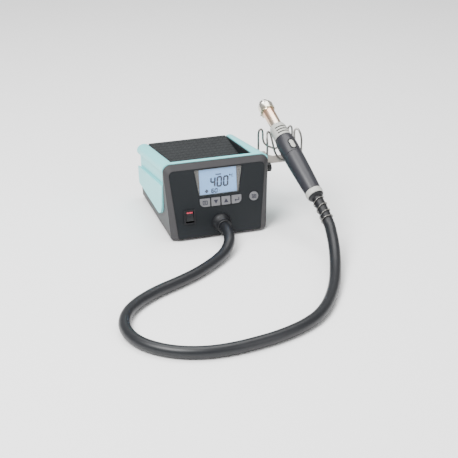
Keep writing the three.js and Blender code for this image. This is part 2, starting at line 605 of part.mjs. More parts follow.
function addHandset() {
  const slot = (grow, z0, z1) =>
    prism(ovalOutline(3.1 + grow, 6.6 + grow), z1 - z0).translate(0, BUTTON_Y, z0);
  add(tool, 'handle_front', HANDLE_GREY, cut(turned([
    [9.6, SEAM_Y], [12.8, SEAM_Y], [13.1, -16], [12.6, -4], [11.6, FRONT_Y], [9.6, FRONT_Y],
    [9.6, SEAM_Y],
  ]), slot(0.35, 5, 20), slot(1.6, 12.2, 20)));
  add(tool, 'handset_button', LIGHT_GREY, join(slot(0, 7.6, 13.3), slot(1.6, 7.2, 8)));
  add(tool, 'handle_rear', HANDLE_GREY, turned([
    [9.6, SEAM_Y - GAP], [8.4, -89.2], [10.7, -89.2], [11.7, -69], [12.5, -47], [12.8, -32],
    [12.8, SEAM_Y - GAP], [9.6, SEAM_Y - GAP],
  ]));
  const slots = Array.from({ length: 3 }, (_, i) => {
    const y = 4.5 + i * 4.3;
    const ring = cut(rodY(20, y, y + 1.9, 0, 0, 12), rodY(9.7, y - 1, y + 3, 0, 0, 24));
    return overlap(ring, box(-8.5, 8.5, y - 2, y + 4, 2, 30));
  });
  add(tool, 'vent_collar', LIGHT_GREY, cut(turned([
    [8.4, 1.4], [11.6, 1.4], [11.4, 9.5], [11, 17.5], [9.8, 22], [8.4, 22], [8.4, 1.4],
  ]), ...slots));
  add(tool, 'heater_tube', HOT_STEEL, turned([[7.3, 6], [8, 6], [8, 55], [7.3, 55], [7.3, 6]]));
  add(tool, 'heater_core', CERAMIC, join(
    box(-5.2, 5.2, 10, 53, -0.7, 0.7), box(-0.7, 0.7, 10, 53, -5.2, 5.2)));
  add(tool, 'nozzle', STEEL, turned([
    [8.3, 49.5], [8.9, 49.5], [8.9, 60.2], [9.2, 60.8], [8.8, 62.4], [6.4, 63.4], [6.2, 66.4],
    [5, 66.4], [5, 62.6], [8.3, 58], [8.3, 49.5],
  ], 20));
  add(tool, 'nozzle_clamp', STEEL, cut(
    join(rodY(10.2, 50.6, 59.4, 0, 0, 24), box(-3.4, 3.4, 51.4, 58.6, -14.1, -9)),
    rodY(9.3, 40, 60.1, 0, 0, 24), box(-0.8, 0.8, 40, 60.1, -20, -8),
    rodX(1.7, -9, 9, CLAMP_SCREW.y, CLAMP_SCREW.z, 10)));
  add(tool, 'nozzle_clamp_screw', STEEL, join(
    rodX(1.3, -6, 6, CLAMP_SCREW.y, CLAMP_SCREW.z, 8),
    rodX(2.7, 3.8, 6, CLAMP_SCREW.y, CLAMP_SCREW.z, 6)));
  add(tool, 'rear_ring', LIGHT_GREY, turned([
    [8.3, -89.5], [11.2, -89.5], [11.4, -92.4], [10.9, -96.8], [8.3, -96.8], [8.3, -89.5],
  ]));
  const sleeve = tube(tailCurve(-6, TAIL_LENGTH), SLEEVE_RADIUS, 12, 5);
  add(tool, 'bend_relief', BLACK, join(sleeve, turned([
    [0, -86], [8, -86], [8, -97.1], [10.2, -97.1], [9.6, -98.6], [7.1, -101.2], [0, -101.2],
  ], 20)));
  add(tool, 'bend_spring', STEEL, tube(new Coil(), COIL_WIRE, 6, 44));
  add(tool, 'control_board', CIRCUIT, box(-6.5, 6.5, -62, -14, -1.2, 0.4));
}

// the tail leaves the handle straight and bends slightly to the left
function tailCurve(from, to) {
  const curve = new THREE.Curve();
  curve.getPoint = (t) => tailPoint(from + (to - from) * t);
  return curve;
}

// bend-relief spring: open turns over the sleeve and one closed turn at its end
class Coil extends THREE.Curve {
  getPoint(t) {
    const turn = t * (COIL_TURNS + 1);
    const along = COIL_START + Math.min(turn, COIL_TURNS) * COIL_PITCH
      + Math.max(turn - COIL_TURNS, 0) * CLOSED_PITCH;
    const radius = SLEEVE_RADIUS + COIL_WIRE + GAP;
    const angle = 2 * Math.PI * turn;
    return tailPoint(along).add(v3(radius * Math.cos(angle), 0, radius * Math.sin(angle)));
  }
}

// screw of the nozzle clamp, in the handset's own frame
const CLAMP_SCREW = { y: 55, z: -12 };

const ovalOutline = (halfWide, halfLong) => {
  const outline = new THREE.Shape();
  outline.absarc(0, halfLong - halfWide, halfWide, 0, Math.PI);
  outline.absarc(0, -(halfLong - halfWide), halfWide, Math.PI, 2 * Math.PI);
  return outline;
};

// ---- hose ------------------------------------------------------------------------------
// Route from the station's outlet over the bench to the handset.
const HOSE_ROUTE = [
  [2.7, -16.4, 19.1], [2.7, -21, 19.1], [2.5, -28.5, 18.5], [1.5, -37.5, 16.8],
  [-0.9, -46.6, 14.6], [-5.6, -55.6, 11.8],
  [-13.5, -66, 9], [-27.1, -79.4, 7.4], [-45.7, -94.9, 7], [-62.3, -106.9, 7], [-79.2, -116.8, 7],
  [-95, -125, 7], [-111.1, -132.9, 7], [-127.5, -142.9, 7], [-143.6, -155.4, 7], [-157, -170, 7],
  [-166, -186.5, 7], [-170.3, -205, 7], [-168.8, -225, 7], [-160.8, -244, 7], [-147, -260, 7],
  [-129, -272.4, 7], [-109, -280, 7], [-88.8, -283.2, 7], [-66, -282.8, 7], [-43.3, -279.6, 7],
  [-20, -274.6, 7], [3, -266.6, 7], [22, -257.2, 7], [39.6, -244.6, 7], [56.9, -226, 7],
  [73.5, -201.5, 7.2], [87.4, -176, 9], [98.4, -150.5, 13.2], [106.4, -128.5, 19.4], [111.9, -109, 26.6],
];

function addHose() {
  tool.updateMatrix();
  const fromTail = (s) => tailPoint(TAIL_LENGTH + s).applyMatrix4(tool.matrix).toArray();
  const route = smoothPath([...HOSE_ROUTE, fromTail(8), fromTail(GAP + 2), fromTail(GAP)]);
  add(model, 'hose', RUBBER, tube(route, HOSE_RADIUS, 8, 50));
}

// ---- assembly --------------------------------------------------------------------------
add(model, 'base_housing', ANTHRACITE, baseHousing());
add(model, 'top_cover', TEAL, topCover());
add(model, 'tool_tray', PANEL_BLACK, toolTray());
add(model, 'tray_mat', RUBBER, trayMat());
add(model, 'rear_panel', ANTHRACITE, rearPanel());
addControls();
addRocker();
addGland();
addInternals();
addFeetAndScrews();
addHolder();
addHandset();
addHose();

model.children.forEach((child) => child.position.sub(v3(ORIGIN_X, ORIGIN_Y, 0)));
export default model;
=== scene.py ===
import math

import bmesh
import bpy
from mathutils import Matrix, Vector


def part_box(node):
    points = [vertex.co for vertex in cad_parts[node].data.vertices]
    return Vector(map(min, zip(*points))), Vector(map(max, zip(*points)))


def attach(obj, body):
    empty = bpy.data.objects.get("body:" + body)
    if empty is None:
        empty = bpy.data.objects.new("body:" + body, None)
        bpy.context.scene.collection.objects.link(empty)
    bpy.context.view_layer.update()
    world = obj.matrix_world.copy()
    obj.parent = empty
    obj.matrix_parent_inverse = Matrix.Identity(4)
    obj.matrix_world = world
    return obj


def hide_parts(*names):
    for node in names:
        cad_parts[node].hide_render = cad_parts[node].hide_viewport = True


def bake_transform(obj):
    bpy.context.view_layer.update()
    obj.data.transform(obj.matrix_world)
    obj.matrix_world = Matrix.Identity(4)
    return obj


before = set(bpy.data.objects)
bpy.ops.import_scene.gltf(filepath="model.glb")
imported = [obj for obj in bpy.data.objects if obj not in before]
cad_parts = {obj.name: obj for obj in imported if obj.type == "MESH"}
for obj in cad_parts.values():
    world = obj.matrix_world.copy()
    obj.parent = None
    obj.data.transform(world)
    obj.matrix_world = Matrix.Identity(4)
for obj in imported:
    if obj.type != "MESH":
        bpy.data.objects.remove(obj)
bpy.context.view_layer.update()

# Shapes are drawn in millimetres about the station's centre line, like the CAD; ORIGIN and MM
# bring them into the part's own frame. Spaces: BODY, FACE (the leaning front), TOOL (the handset).
MM = 0.001
ORIGIN = Matrix.Translation((-28.7 * MM, -33.76 * MM, 0))
BODY = Matrix.Identity(4)

FOOT_HEIGHT = 3.0  # the housing stands this far above the bench
RIM_TOP_Y, RIM_TOP_Z = 13.4, 100.3  # the front rim leans back to here at its top
LEAN_ANGLE = math.atan(RIM_TOP_Y / (RIM_TOP_Z - FOOT_HEIGHT))
TOP_SLOPE = 0.171  # fall of the top over each millimetre of depth
FACE_PROUD = 4.5  # the front panel stands this far in front of the rim
BACK_Y = 149.0
WALL = 2.5
GAP = 0.3  # clearance between neighbouring pieces
HALF_BOTTOM, SIDE_FLARE = 63.5, 0.0565  # half width at the base, and its gain with height
SHOULDER = 9.5  # radius of the housing's upper corners
TRAY_HALF, TRAY_FRONT_Y = 55.9, 24.0  # left edge and front of the tray opening
TRAY_RIGHT = (51.4, 56.8)  # its right edge at the front and at the back
MAT_Z = 78.1
SPLIT_Z = 22.5  # height of the split between base and cover at the sides
HOSE_RADIUS = 7.0
GLAND = (2.7, -16.0, 19.1)
TOOL_AT = (100.5, 40.0, 105.5)
TOOL_TILT, TOOL_YAW = math.radians(29.1), math.radians(9)

FACE = Matrix.Translation((0, -FACE_PROUD, FOOT_HEIGHT)) @ Matrix.Rotation(-LEAN_ANGLE, 4, "X")
TOOL = (Matrix.Translation(TOOL_AT) @ Matrix.Rotation(TOOL_YAW, 4, "Z")
        @ Matrix.Rotation(TOOL_TILT, 4, "X"))


def row(point, space=BODY):
    """A drawn point in the part's own frame, in metres."""
    return ORIGIN @ ((space @ Vector(point)) * MM)


# ---- camera ------------------------------------------------------------------------------
CAMERA_AT = (-401.90, -1310.49, 653.87)
CAMERA_RIGHT = (0.95330, -0.30204, 0)
CAMERA_BACK = (-0.27331, -0.86264, 0.42562)
FOCAL_LENGTH, SENSOR_WIDTH = 93.14, 36


def add_camera():
    data = bpy.data.cameras.new("camera")
    data.lens, data.sensor_width = FOCAL_LENGTH, SENSOR_WIDTH
    data.clip_start, data.clip_end = 0.05, 20
    camera = bpy.data.objects.new("camera", data)
    bpy.context.scene.collection.objects.link(camera)
    right = Vector(CAMERA_RIGHT)
    back = Vector(CAMERA_BACK).normalized()
    up = back.cross(right).normalized()
    camera.matrix_world = (Matrix.Translation(row(CAMERA_AT))
                           @ Matrix((right, up, back)).transposed().to_4x4())
    bpy.context.scene.camera = camera


add_camera()


# ---- materials ---------------------------------------------------------------------------
class Look:
    """One procedural material: its colour, roughness and bump vary over the object."""

    def __init__(self, name, slot, colour, rough, metal=0.0, vary=0.07, patch=0.02, grain=0.0006,
                 bump=0.04, rough_vary=0.07, stretch=None, turn=None, **sockets):
        self.slot = slot
        self.material = bpy.data.materials.new(name)
        self.material.use_nodes = True
        self.tree = self.material.node_tree
        self.shader = self.tree.nodes["Principled BSDF"]
        self.shader.inputs["Metallic"].default_value = metal
        for socket, value in sockets.items():
            self.shader.inputs[socket.replace("_", " ")].default_value = value
        self.place = self.node("ShaderNodeTexCoord").outputs["Object"]
        if stretch is not None:  # brushed along one direction of a turned frame
            turned_place = self.node("ShaderNodeMapping", vector_type="TEXTURE")
            turned_place.inputs["Rotation"].default_value = turn
            self.link(self.place, turned_place.inputs["Vector"])
            stretched = self.node("ShaderNodeMapping")
            stretched.inputs["Scale"].default_value = stretch
            self.link(turned_place.outputs[0], stretched.inputs["Vector"])
            self.place = stretched.outputs[0]
        self.patches = self.noise(1 / patch, 3)
        self.fine = self.noise(1 / grain, 4)
        low = [c * (1 - vary) for c in colour] + [1]
        high = [min(1, c * (1 + vary)) for c in colour] + [1]
        self.colour = self.ramp(self.patches, [(0.3, low), (0.7, high)])
        self.link(self.colour, self.shader.inputs["Base Color"])
        spread = self.node("ShaderNodeMapRange")
        spread.inputs["To Min"].default_value = max(0.02, rough - rough_vary)
        spread.inputs["To Max"].default_value = min(1, rough + rough_vary)
        self.link(self.fine, spread.inputs["Value"])
        self.link(spread.outputs[0], self.shader.inputs["Roughness"])
        if bump:
            relief = self.node("ShaderNodeBump")
            relief.inputs["Strength"].default_value = bump
            relief.inputs["Distance"].default_value = grain / 3
            self.link(self.fine, relief.inputs["Height"])
            self.link(relief.outputs[0], self.shader.inputs["Normal"])

    def node(self, kind, **settings):
        node = self.tree.nodes.new(kind)
        for key, value in settings.items():
            setattr(node, key, value)
        return node

    def link(self, output, socket):
        self.tree.links.new(output, socket)

    def noise(self, scale, detail):
        node = self.node("ShaderNodeTexNoise")
        node.inputs["Scale"].default_value = scale
        node.inputs["Detail"].default_value = detail
        self.link(self.place, node.inputs["Vector"])
        return node.outputs["Fac"]

    def ramp(self, value, stops):
        node = self.node("ShaderNodeValToRGB")
        for i, (at, colour) in enumerate(stops):
            element = node.color_ramp.elements[i] if i < 2 else node.color_ramp.elements.new(at)
            element.position, element.color = at, colour
        self.link(value, node.inputs["Fac"])
        return node.outputs["Color"]

    def multiplied(self, first, second):
        node = self.node("ShaderNodeMix", data_type="RGBA", blend_type="MULTIPLY")
        node.inputs["Factor"].default_value = 1.0
        self.link(first, node.inputs["A"])
        self.link(second, node.inputs["B"])
        return node.outputs["Result"]


HEATED_FROM, HEATED_LENGTH = 20, 47  # stretch of the handset's axis that the tint runs over


def heat_tinted(name, stops, rough):
    """Bright tube whose oxide colour changes along the handset axis."""
    look = Look(name, "hot_steel", (1, 1, 1), rough, metal=1.0, vary=0.03, grain=0.0004, bump=0.03)
    shift = look.node("ShaderNodeVectorMath", operation="SUBTRACT")
    shift.inputs[1].default_value = row((0, HEATED_FROM, 0), TOOL)
    look.link(look.place, shift.inputs[0])
    along = look.node("ShaderNodeVectorMath", operation="DOT_PRODUCT")
    along.inputs[1].default_value = TOOL.to_3x3() @ Vector((0, 1, 0)) / (HEATED_LENGTH * MM)
    look.link(shift.outputs[0], along.inputs[0])
    tint = look.ramp(along.outputs["Value"], stops)
    look.link(look.multiplied(tint, look.colour), look.shader.inputs["Base Color"])
    return look


TEAL = Look("teal_abs", "teal_cover", (0.20, 0.66, 0.68), 0.42, vary=0.025, patch=0.06,
            grain=0.0009, bump=0.05, Coat_Weight=0.08, Coat_Roughness=0.35)
ANTHRACITE = Look("anthracite_abs", "housing_plastic", (0.030, 0.029, 0.031), 0.55, vary=0.06,
                  patch=0.04, grain=0.0008, bump=0.1, Specular_IOR_Level=0.35)
PANEL = Look("front_panel_abs", "panel_plastic", (0.009, 0.011, 0.013), 0.5, vary=0.05,
             patch=0.04, grain=0.0007, bump=0.07, Specular_IOR_Level=0.2)
RUBBER = Look("black_rubber", "rubber", (0.012, 0.013, 0.014), 0.7, grain=0.0009, bump=0.12)
MAT = Look("mat_rubber", "mat_rubber", (0.016, 0.018, 0.019), 0.75, vary=0.12, patch=0.012,
           grain=0.0008, bump=0.16, Specular_IOR_Level=0.3)
KEY = Look("key_plastic", "key_plastic", (0.135, 0.135, 0.145), 0.42, vary=0.03, grain=0.0006,
           bump=0.05)
INK = Look("printed_symbol", "key_plastic", (0.012, 0.012, 0.025), 0.6, grain=0.0004, bump=0.03)
WINDOW = Look("window_pane", "window", (0.85, 0.9, 0.95), 0.06, vary=0.01, rough_vary=0.03,
              grain=0.004, bump=0.0, Alpha=0.02, Specular_IOR_Level=0.25)
WINDOW_PRINT = Look("window_border_print", "window", (0.075, 0.07, 0.062), 0.4, vary=0.04,
                    bump=0.03)
LCD = Look("lcd_glass", "lcd", (0.19, 0.38, 0.68), 0.28, vary=0.025, patch=0.03, grain=0.0005,
           bump=0.01)
LCD_INK = Look("lcd_segment", "lcd", (0.003, 0.006, 0.02), 0.35, vary=0.2, grain=0.0004,
               bump=0.01)
CIRCUIT = Look("solder_mask", "circuit", (0.02, 0.13, 0.05), 0.35, vary=0.25, patch=0.002,
               bump=0.06)
STEEL = Look("drawn_steel", "steel", (0.56, 0.55, 0.52), 0.3, metal=1.0, vary=0.1, patch=0.004,
             grain=0.0004, bump=0.05)
WIRE = Look("wire_steel", "steel", (0.20, 0.195, 0.185), 0.3, metal=1.0, vary=0.1, patch=0.004,
            grain=0.0004, bump=0.05)
TURNED_STEEL = Look("turned_steel", "steel", (0.66, 0.63, 0.57), 0.26, metal=1.0, vary=0.05,
                    grain=0.0007, bump=0.05, turn=(TOOL_TILT, 0, TOOL_YAW), stretch=(1, 40, 1))
PLATE = Look("plate_steel", "plate", (0.36, 0.33, 0.30), 0.42, metal=0.25, vary=0.06, patch=0.008,
             grain=0.0005, bump=0.05)
HANDLE = Look("handle_plastic", "handle_plastic", (0.017, 0.017, 0.022), 0.4, vary=0.05,
              patch=0.03, grain=0.0006, bump=0.07)
LIGHT = Look("light_plastic", "light_plastic", (0.40, 0.40, 0.375), 0.45, vary=0.04, grain=0.0007,
             bump=0.05)
BLACK = Look("black_plastic", "black_plastic", (0.007, 0.0075, 0.009), 0.45, grain=0.0007,
             bump=0.06, Specular_IOR_Level=0.35)
COPPER = Look("copper_and_core", "copper", (0.36, 0.14, 0.05), 0.4, metal=0.8, patch=0.004,
              vary=0.3)
CERAMIC = Look("mica_former", "ceramic", (0.72, 0.66, 0.56), 0.7, patch=0.004, vary=0.15,
               bump=0.1)
FOAM = Look("filter_foam", "foam", (0.045, 0.05, 0.055), 0.95, patch=0.001, vary=0.6, grain=0.001,
            bump=0.6)
HOSE = Look("hose_rubber", "hose_rubber", (0.008, 0.009, 0.011), 0.4, vary=0.1, patch=0.015,
            grain=0.0012, bump=0.06, Specular_IOR_Level=0.4)
LAMP_RED = Look("switch_lens", "black_plastic", (0.45, 0.02, 0.05), 0.25, vary=0.1, patch=0.002,
                grain=0.0005, bump=0.02, Coat_Weight=0.4)
BRASS = Look("contact_brass", "steel", (0.72, 0.55, 0.28), 0.3, metal=1.0, grain=0.0004)
HOT = heat_tinted("heat_tinted_tube", [
    (0.0, (0.62, 0.56, 0.50, 1)), (0.25, (0.78, 0.60, 0.46, 1)), (0.55, (0.80, 0.52, 0.36, 1)),
    (0.8, (0.55, 0.34, 0.22, 1)), (0.96, (0.42, 0.27, 0.17, 1))], 0.24)
HOT_NOZZLE = heat_tinted("heat_tinted_nozzle", [
    (0.40, (0.42, 0.35, 0.25, 1)), (0.62, (0.62, 0.55, 0.40, 1)), (0.75, (0.74, 0.71, 0.62, 1)),
    (0.97, (0.70, 0.69, 0.66, 1))], 0.22)


# ---- shapes: (points, faces) in millimetres ----------------------------------------------
def ring_faces(count, rings):
    """Quads between neighbouring rings of points, and a cap at each end."""
    faces = [(r * count + i, r * count + (i + 1) % count, (r + 1) * count + (i + 1) % count,
              (r + 1) * count + i) for r in range(rings - 1) for i in range(count)]
    faces.append(tuple(reversed(range(count))))
    faces.append(tuple(range((rings - 1) * count, rings * count)))
    return faces


def loft(rings):
    return [tuple(p) for ring in rings for p in ring], ring_faces(len(rings[0]), len(rings))


def rectangle(x0, x1, z0, z1):
    return [(x0, z0), (x1, z0), (x1, z1), (x0, z1)]


def box(x0, x1, y0, y1, z0, z1):
    return front_prism(rectangle(x0, x1, z0, z1), y0, y1)


def side_prism(outline, x0, x1):
    return loft([[(x, y, z) for y, z in outline] for x in (x0, x1)])


def front_prism(outline, y0, y1):
    return loft([[(x, y, z) for x, z in outline] for y in (y0, y1)])


def plan_prism(outline, z0, z1):
    return loft([[(x, y, z) for x, y in outline] for z in (z0, z1)])


def turns(count):
    return [2 * math.pi * i / count for i in range(count)]


def arc(start, angle, steps):
    return [start + angle * i / steps for i in range(steps + 1)]


def circle(radius, x, y, count):
    return [(x + radius * math.cos(a), y + radius * math.sin(a)) for a in turns(count)]


ON_AXIS = 1e-6  # a radius below this is a point on the axis


def turned(profile, segments):
    """Body of revolution about Y from a closed list of (radius, y) off the axis, or one that
    starts and ends on it."""
    points, faces, rows = [], [], []
    for radius, y in profile:
        if radius < ON_AXIS:
            rows.append([len(points)] * segments)
            points.append((0, y, 0))
            continue
        rows.append(list(range(len(points), len(points) + segments)))
        points += [(radius * math.cos(a), y, radius * math.sin(a)) for a in turns(segments)]
    loop = profile[0][0] > ON_AXIS
    pairs = list(zip(rows, rows[1:])) + ([(rows[-1], rows[0])] if loop else [])
    for first, second in pairs:
        for i in range(segments):
            j = (i + 1) % segments
            face = [first[i], first[j], second[j], second[i]]
            face = [p for k, p in enumerate(face) if p not in face[:k]]
            if len(face) > 2:
                faces.append(tuple(face))
    return points, faces


def rod_x(radius, x0, x1, y, z, segments=48):
    return side_prism(circle(radius, y, z, segments), x0, x1)


def rod_y(radius, y0, y1, x=0.0, z=0.0):
    return front_prism(circle(radius, x, z, 48), y0, y1)


def rod_z(radius, z0, z1, x, y):
    return plan_prism(circle(radius, x, y, 48), z0, z1)


def curve_points(points, per_span):
    """Centripetal Catmull-Rom line through the points."""
    p = [Vector(q) for q in points]
    p = [p[0] * 2 - p[1]] + p + [p[-1] * 2 - p[-2]]
    line = []
    for i in range(1, len(p) - 2):
        t = [0.0]
        for a, b in zip(p[i - 1:i + 2], p[i:i + 3]):
            t.append(t[-1] + max((b - a).length, 1e-9) ** 0.5)
        for k in range(per_span):
            s = t[1] + (t[2] - t[1]) * k / per_span
            a = [p[i - 1 + j].lerp(p[i + j], (s - t[j]) / (t[j + 1] - t[j])) for j in range(3)]
            b = [a[j].lerp(a[j + 1], (s - t[j]) / (t[j + 2] - t[j])) for j in range(2)]
            line.append(b[0].lerp(b[1], (s - t[1]) / (t[2] - t[1])))
    return line + [p[-2]]


def resample(line, count):
    """The same line, cut into equal lengths."""
    lengths = [0.0]
    for a, b in zip(line, line[1:]):
        lengths.append(lengths[-1] + (b - a).length)
    result, k = [], 0
    for i in range(count + 1):
        want = lengths[-1] * i / count
        while k < len(line) - 2 and lengths[k + 1] < want:
            k += 1
        span = max(lengths[k + 1] - lengths[k], 1e-9)
        result.append(line[k].lerp(line[k + 1], min(1, max(0, (want - lengths[k]) / span))))
    return result


def sweep(line, radius, sides, dome=0.0):
    """Round bar along a line, carried without twist; dome rounds its ends."""
    line = [Vector(p) for p in line]
    tangents = [(line[min(i + 1, len(line) - 1)] - line[max(i - 1, 0)]).normalized()
                for i in range(len(line))]
    side = tangents[0].orthogonal().normalized()
    stations = []
    for centre, tangent in zip(line, tangents):
        side = (side - tangent * side.dot(tangent)).normalized()
        stations.append((centre, tangent, side, tangent.cross(side)))

    def ring(station, scale=1.0, shift=0.0):
        centre, tangent, a, b = station
        return [tuple(centre + tangent * shift
                      + (a * math.cos(t) + b * math.sin(t)) * radius * scale)
                for t in turns(sides)]

    body = [ring(station) for station in stations]
    if dome:
        steps = [math.radians(a) for a in (80, 60, 40, 20)]
        first, last = stations[0], stations[-1]
        body = ([ring(first, math.cos(a), -dome * math.sin(a)) for a in steps] + body
                + [ring(last, math.cos(a), dome * math.sin(a)) for a in reversed(steps)])
    return loft(body)


def merged(*shapes):
    points, faces = [], []
    for more_points, more_faces in shapes:
        base = len(points)
        points += more_points
        faces += [tuple(base + i for i in face) for face in more_faces]
    return points, faces


def moved(shape, matrix):
    return [tuple(matrix @ Vector(p)) for p in shape[0]], shape[1]


def clean_bmesh(shape):
    """The shape with doubled points and faces merged and its normals outward."""
    bm = bmesh.new()
    made = [bm.verts.new(p) for p in shape[0]]
    for face in shape[1]:
        try:
            bm.faces.new([made[i] for i in face])
        except ValueError:  # the same face twice
            continue
    bmesh.ops.remove_doubles(bm, verts=bm.verts, dist=1e-5)
    bmesh.ops.recalc_face_normals(bm, faces=bm.faces)
    if bm.calc_volume(signed=True) < 0:
        bmesh.ops.reverse_faces(bm, faces=bm.faces)
    return bm


def scratch(shape):
    mesh = bpy.data.meshes.new("scratch")
    bm = clean_bmesh(shape)
    bm.to_mesh(mesh)
    bm.free()
    made = bpy.data.objects.new("scratch", mesh)
    bpy.context.scene.collection.objects.link(made)
    return made


def combined(shape, others, operation):
    """First shape less, plus or shared with each of the others."""
    base = scratch(shape)
    tools = [scratch(other) for other in others]
    for tool in tools:
        modifier = base.modifiers.new("cut", "BOOLEAN")
        modifier.operation, modifier.solver, modifier.object = operation, "MANIFOLD", tool
    bpy.context.view_layer.update()
    result = base.evaluated_get(bpy.context.evaluated_depsgraph_get()).to_mesh()
    points = [tuple(v.co) for v in result.vertices]
    faces = [tuple(p.vertices) for p in result.polygons]
    for used in [base, *tools]:
        mesh = used.data
        bpy.data.objects.remove(used)
        bpy.data.meshes.remove(mesh)
    return points, faces


def less(shape, *others):
    return combined(shape, others, "DIFFERENCE")


def plus(shape, *others):
    return combined(shape, others, "UNION")


def shared(shape, other):
    return combined(shape, [other], "INTERSECT")


def cad_shape(node):
    """The CAD node's own shape, back in millimetres about the station's centre line."""
    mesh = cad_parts[node].data
    back = ORIGIN.inverted()
    return ([tuple((back @ v.co) / MM) for v in mesh.vertices],
            [tuple(p.vertices) for p in mesh.polygons])


# ---- pieces ------------------------------------------------------------------------------
FLAT_ANGLE = math.radians(0.6)  # faces that meet at less than this are one flat face


def piece(name, shape, body, look, nodes=(), space=BODY, bevel=0.0, segments=2, bevel_angle=28,
          sharp=32, tidy=False, ride=True):
    """One visible piece; tidy joins its flat faces before its edges are rounded."""
    bm = clean_bmesh(shape)
    if tidy:
        bmesh.ops.dissolve_limit(bm, angle_limit=FLAT_ANGLE, verts=bm.verts, edges=bm.edges)
    if bevel:
        edges = [e for e in bm.edges
                 if len(e.link_faces) == 2 and e.calc_face_angle(0) > math.radians(bevel_angle)]
        bmesh.ops.bevel(bm, geom=edges, offset=bevel, offset_type="OFFSET", segments=segments,
                        profile=0.5, affect="EDGES", clamp_overlap=True)
    bm.transform(ORIGIN @ Matrix.Scale(MM, 4) @ space)
    bm.normal_update()
    for f in bm.faces:
        f.smooth = True
    for e in bm.edges:
        e.smooth = len(e.link_faces) != 2 or e.calc_face_angle(0) < math.radians(sharp)
    mesh = bpy.data.meshes.new(name)
    bm.to_mesh(mesh)
    bm.free()
    mesh.materials.append(look.material)
    made = bpy.data.objects.new(name, mesh)
    bpy.context.scene.collection.objects.link(made)
    if bevel:
        weighted = made.modifiers.new("even_shading", "WEIGHTED_NORMAL")
        weighted.keep_sharp = True
    if nodes:
        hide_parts(*([nodes] if isinstance(nodes, str) else nodes))
    if ride:
        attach(made, body)
    return made


def refined(node, body, look, bevel, **more):
    """A CAD node with its edges rounded and its shading evened."""
    return piece(node + "_finished", cad_shape(node), body, look, node, bevel=bevel, tidy=True,
                 **more)


# ---- hose --------------------------------------------------------------------------------
TAIL_Y, TAIL_LENGTH, TAIL_BEND = -101.0, 36.0, 260.0  # where the tail starts, and its bend
SLEEVE_RADIUS = 6.8
HOSE_STEPS = 420
HOSE_ROUTE = [
    (2.7, -16.4, 19.1), (2.7, -21, 19.1), (2.5, -28.5, 18.5), (1.5, -37.5, 16.8),
    (-0.9, -46.6, 14.6), (-5.6, -55.6, 11.8), (-13.5, -66, 9), (-27.1, -79.4, 7.4),
    (-45.7, -94.9, 7), (-62.3, -106.9, 7), (-79.2, -116.8, 7), (-95, -125, 7),
    (-111.1, -132.9, 7), (-127.5, -142.9, 7), (-143.6, -155.4, 7), (-157, -170, 7),
    (-166, -186.5, 7), (-170.3, -205, 7), (-168.8, -225, 7), (-160.8, -244, 7),
    (-147, -260, 7), (-129, -272.4, 7), (-109, -280, 7), (-88.8, -283.2, 7),
    (-66, -282.8, 7), (-43.3, -279.6, 7), (-20, -274.6, 7), (3, -266.6, 7),
    (22, -257.2, 7), (39.6, -244.6, 7), (56.9, -226, 7), (73.5, -201.5, 7.2),
    (87.4, -176, 9), (98.4, -150.5, 13.2), (106.4, -128.5, 19.4), (111.9, -109, 26.6),
]


def tail_point(s):
    """Point s millimetres down the handset's tail, in its own frame."""
    return Vector((-(max(s, 0) ** 2) / (2 * TAIL_BEND), TAIL_Y - s, 0))


def add_hose():
    ends = [TOOL @ tail_point(TAIL_LENGTH + s) for s in (8, GAP + 2, GAP)]
    line = resample(curve_points([*HOSE_ROUTE, *ends], 24), HOSE_STEPS)
    hose = piece("air_hose", sweep(line, HOSE_RADIUS, 40), None, HOSE, "hose", sharp=60,
                 ride=False)
    path = [tuple(row(p)) for p in line]
    length = sum((Vector(b) - Vector(a)).length for a, b in zip(path, path[1:]))
    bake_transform(hose)
    return hose, path, length


hose, hose_path, hose_length = add_hose()


# ---- station housing ---------------------------------------------------------------------
def top_z(y):
    return RIM_TOP_Z - (y - RIM_TOP_Y) * TOP_SLOPE


def half_width(z):
    return HALF_BOTTOM + (z - FOOT_HEIGHT) * SIDE_FLARE


def mirrored_ring(y, half):
    return [(x, y, z) for x, z in half] + [(-x, y, z) for x, z in reversed(half)]


def cover_half(y):
    """Right half of the cover's section at y: side panel, finger groove and rounded rail."""
    top = top_z(y)
    lower = [(68, SPLIT_Z), (68.7, top - 40)]
    groove = [(68.9, top - 31.2), (68.5, top - 30), (67.6, top - 29.7), (66, top - 30.9),
              (64.9, top - 31), (64.8, top - 27.5)]
    rail = [(65, top - 16), (65.5, top - 14.2), (68.2, top - 12), (69.5, top - 9.4),
            (69.6, top - 7), (68.9, top - 4.2), (67.2, top - 1.9), (64.5, top - 0.2),
            (61.4, top + 0.7), (58.6, top + 0.6), (TRAY_HALF, top)]
    fine = [(p.x, p.y) for part in (groove, rail)
            for p in curve_points([(x, z, 0) for x, z in part], 4)]
    return lower + fine


def body_half(y):
    """Right half of the housing's section at y."""
    top = top_z(y)
    shoulder = [(half_width(top) - SHOULDER + SHOULDER * math.cos(a),
                 top - SHOULDER + SHOULDER * math.sin(a))
                for a in arc(0, math.pi / 2, 12)]
    return [(HALF_BOTTOM - 1.5, FOOT_HEIGHT), (HALF_BOTTOM, FOOT_HEIGHT + 1.5), *shoulder]


def hollow(y0, y1, half, floor, drop):
    """Room inside a shell, from the floor to a drop below the sloping top."""
    return loft([mirrored_ring(y, [(half, floor), (half, top_z(y) - drop)]) for y in (y0, y1)])


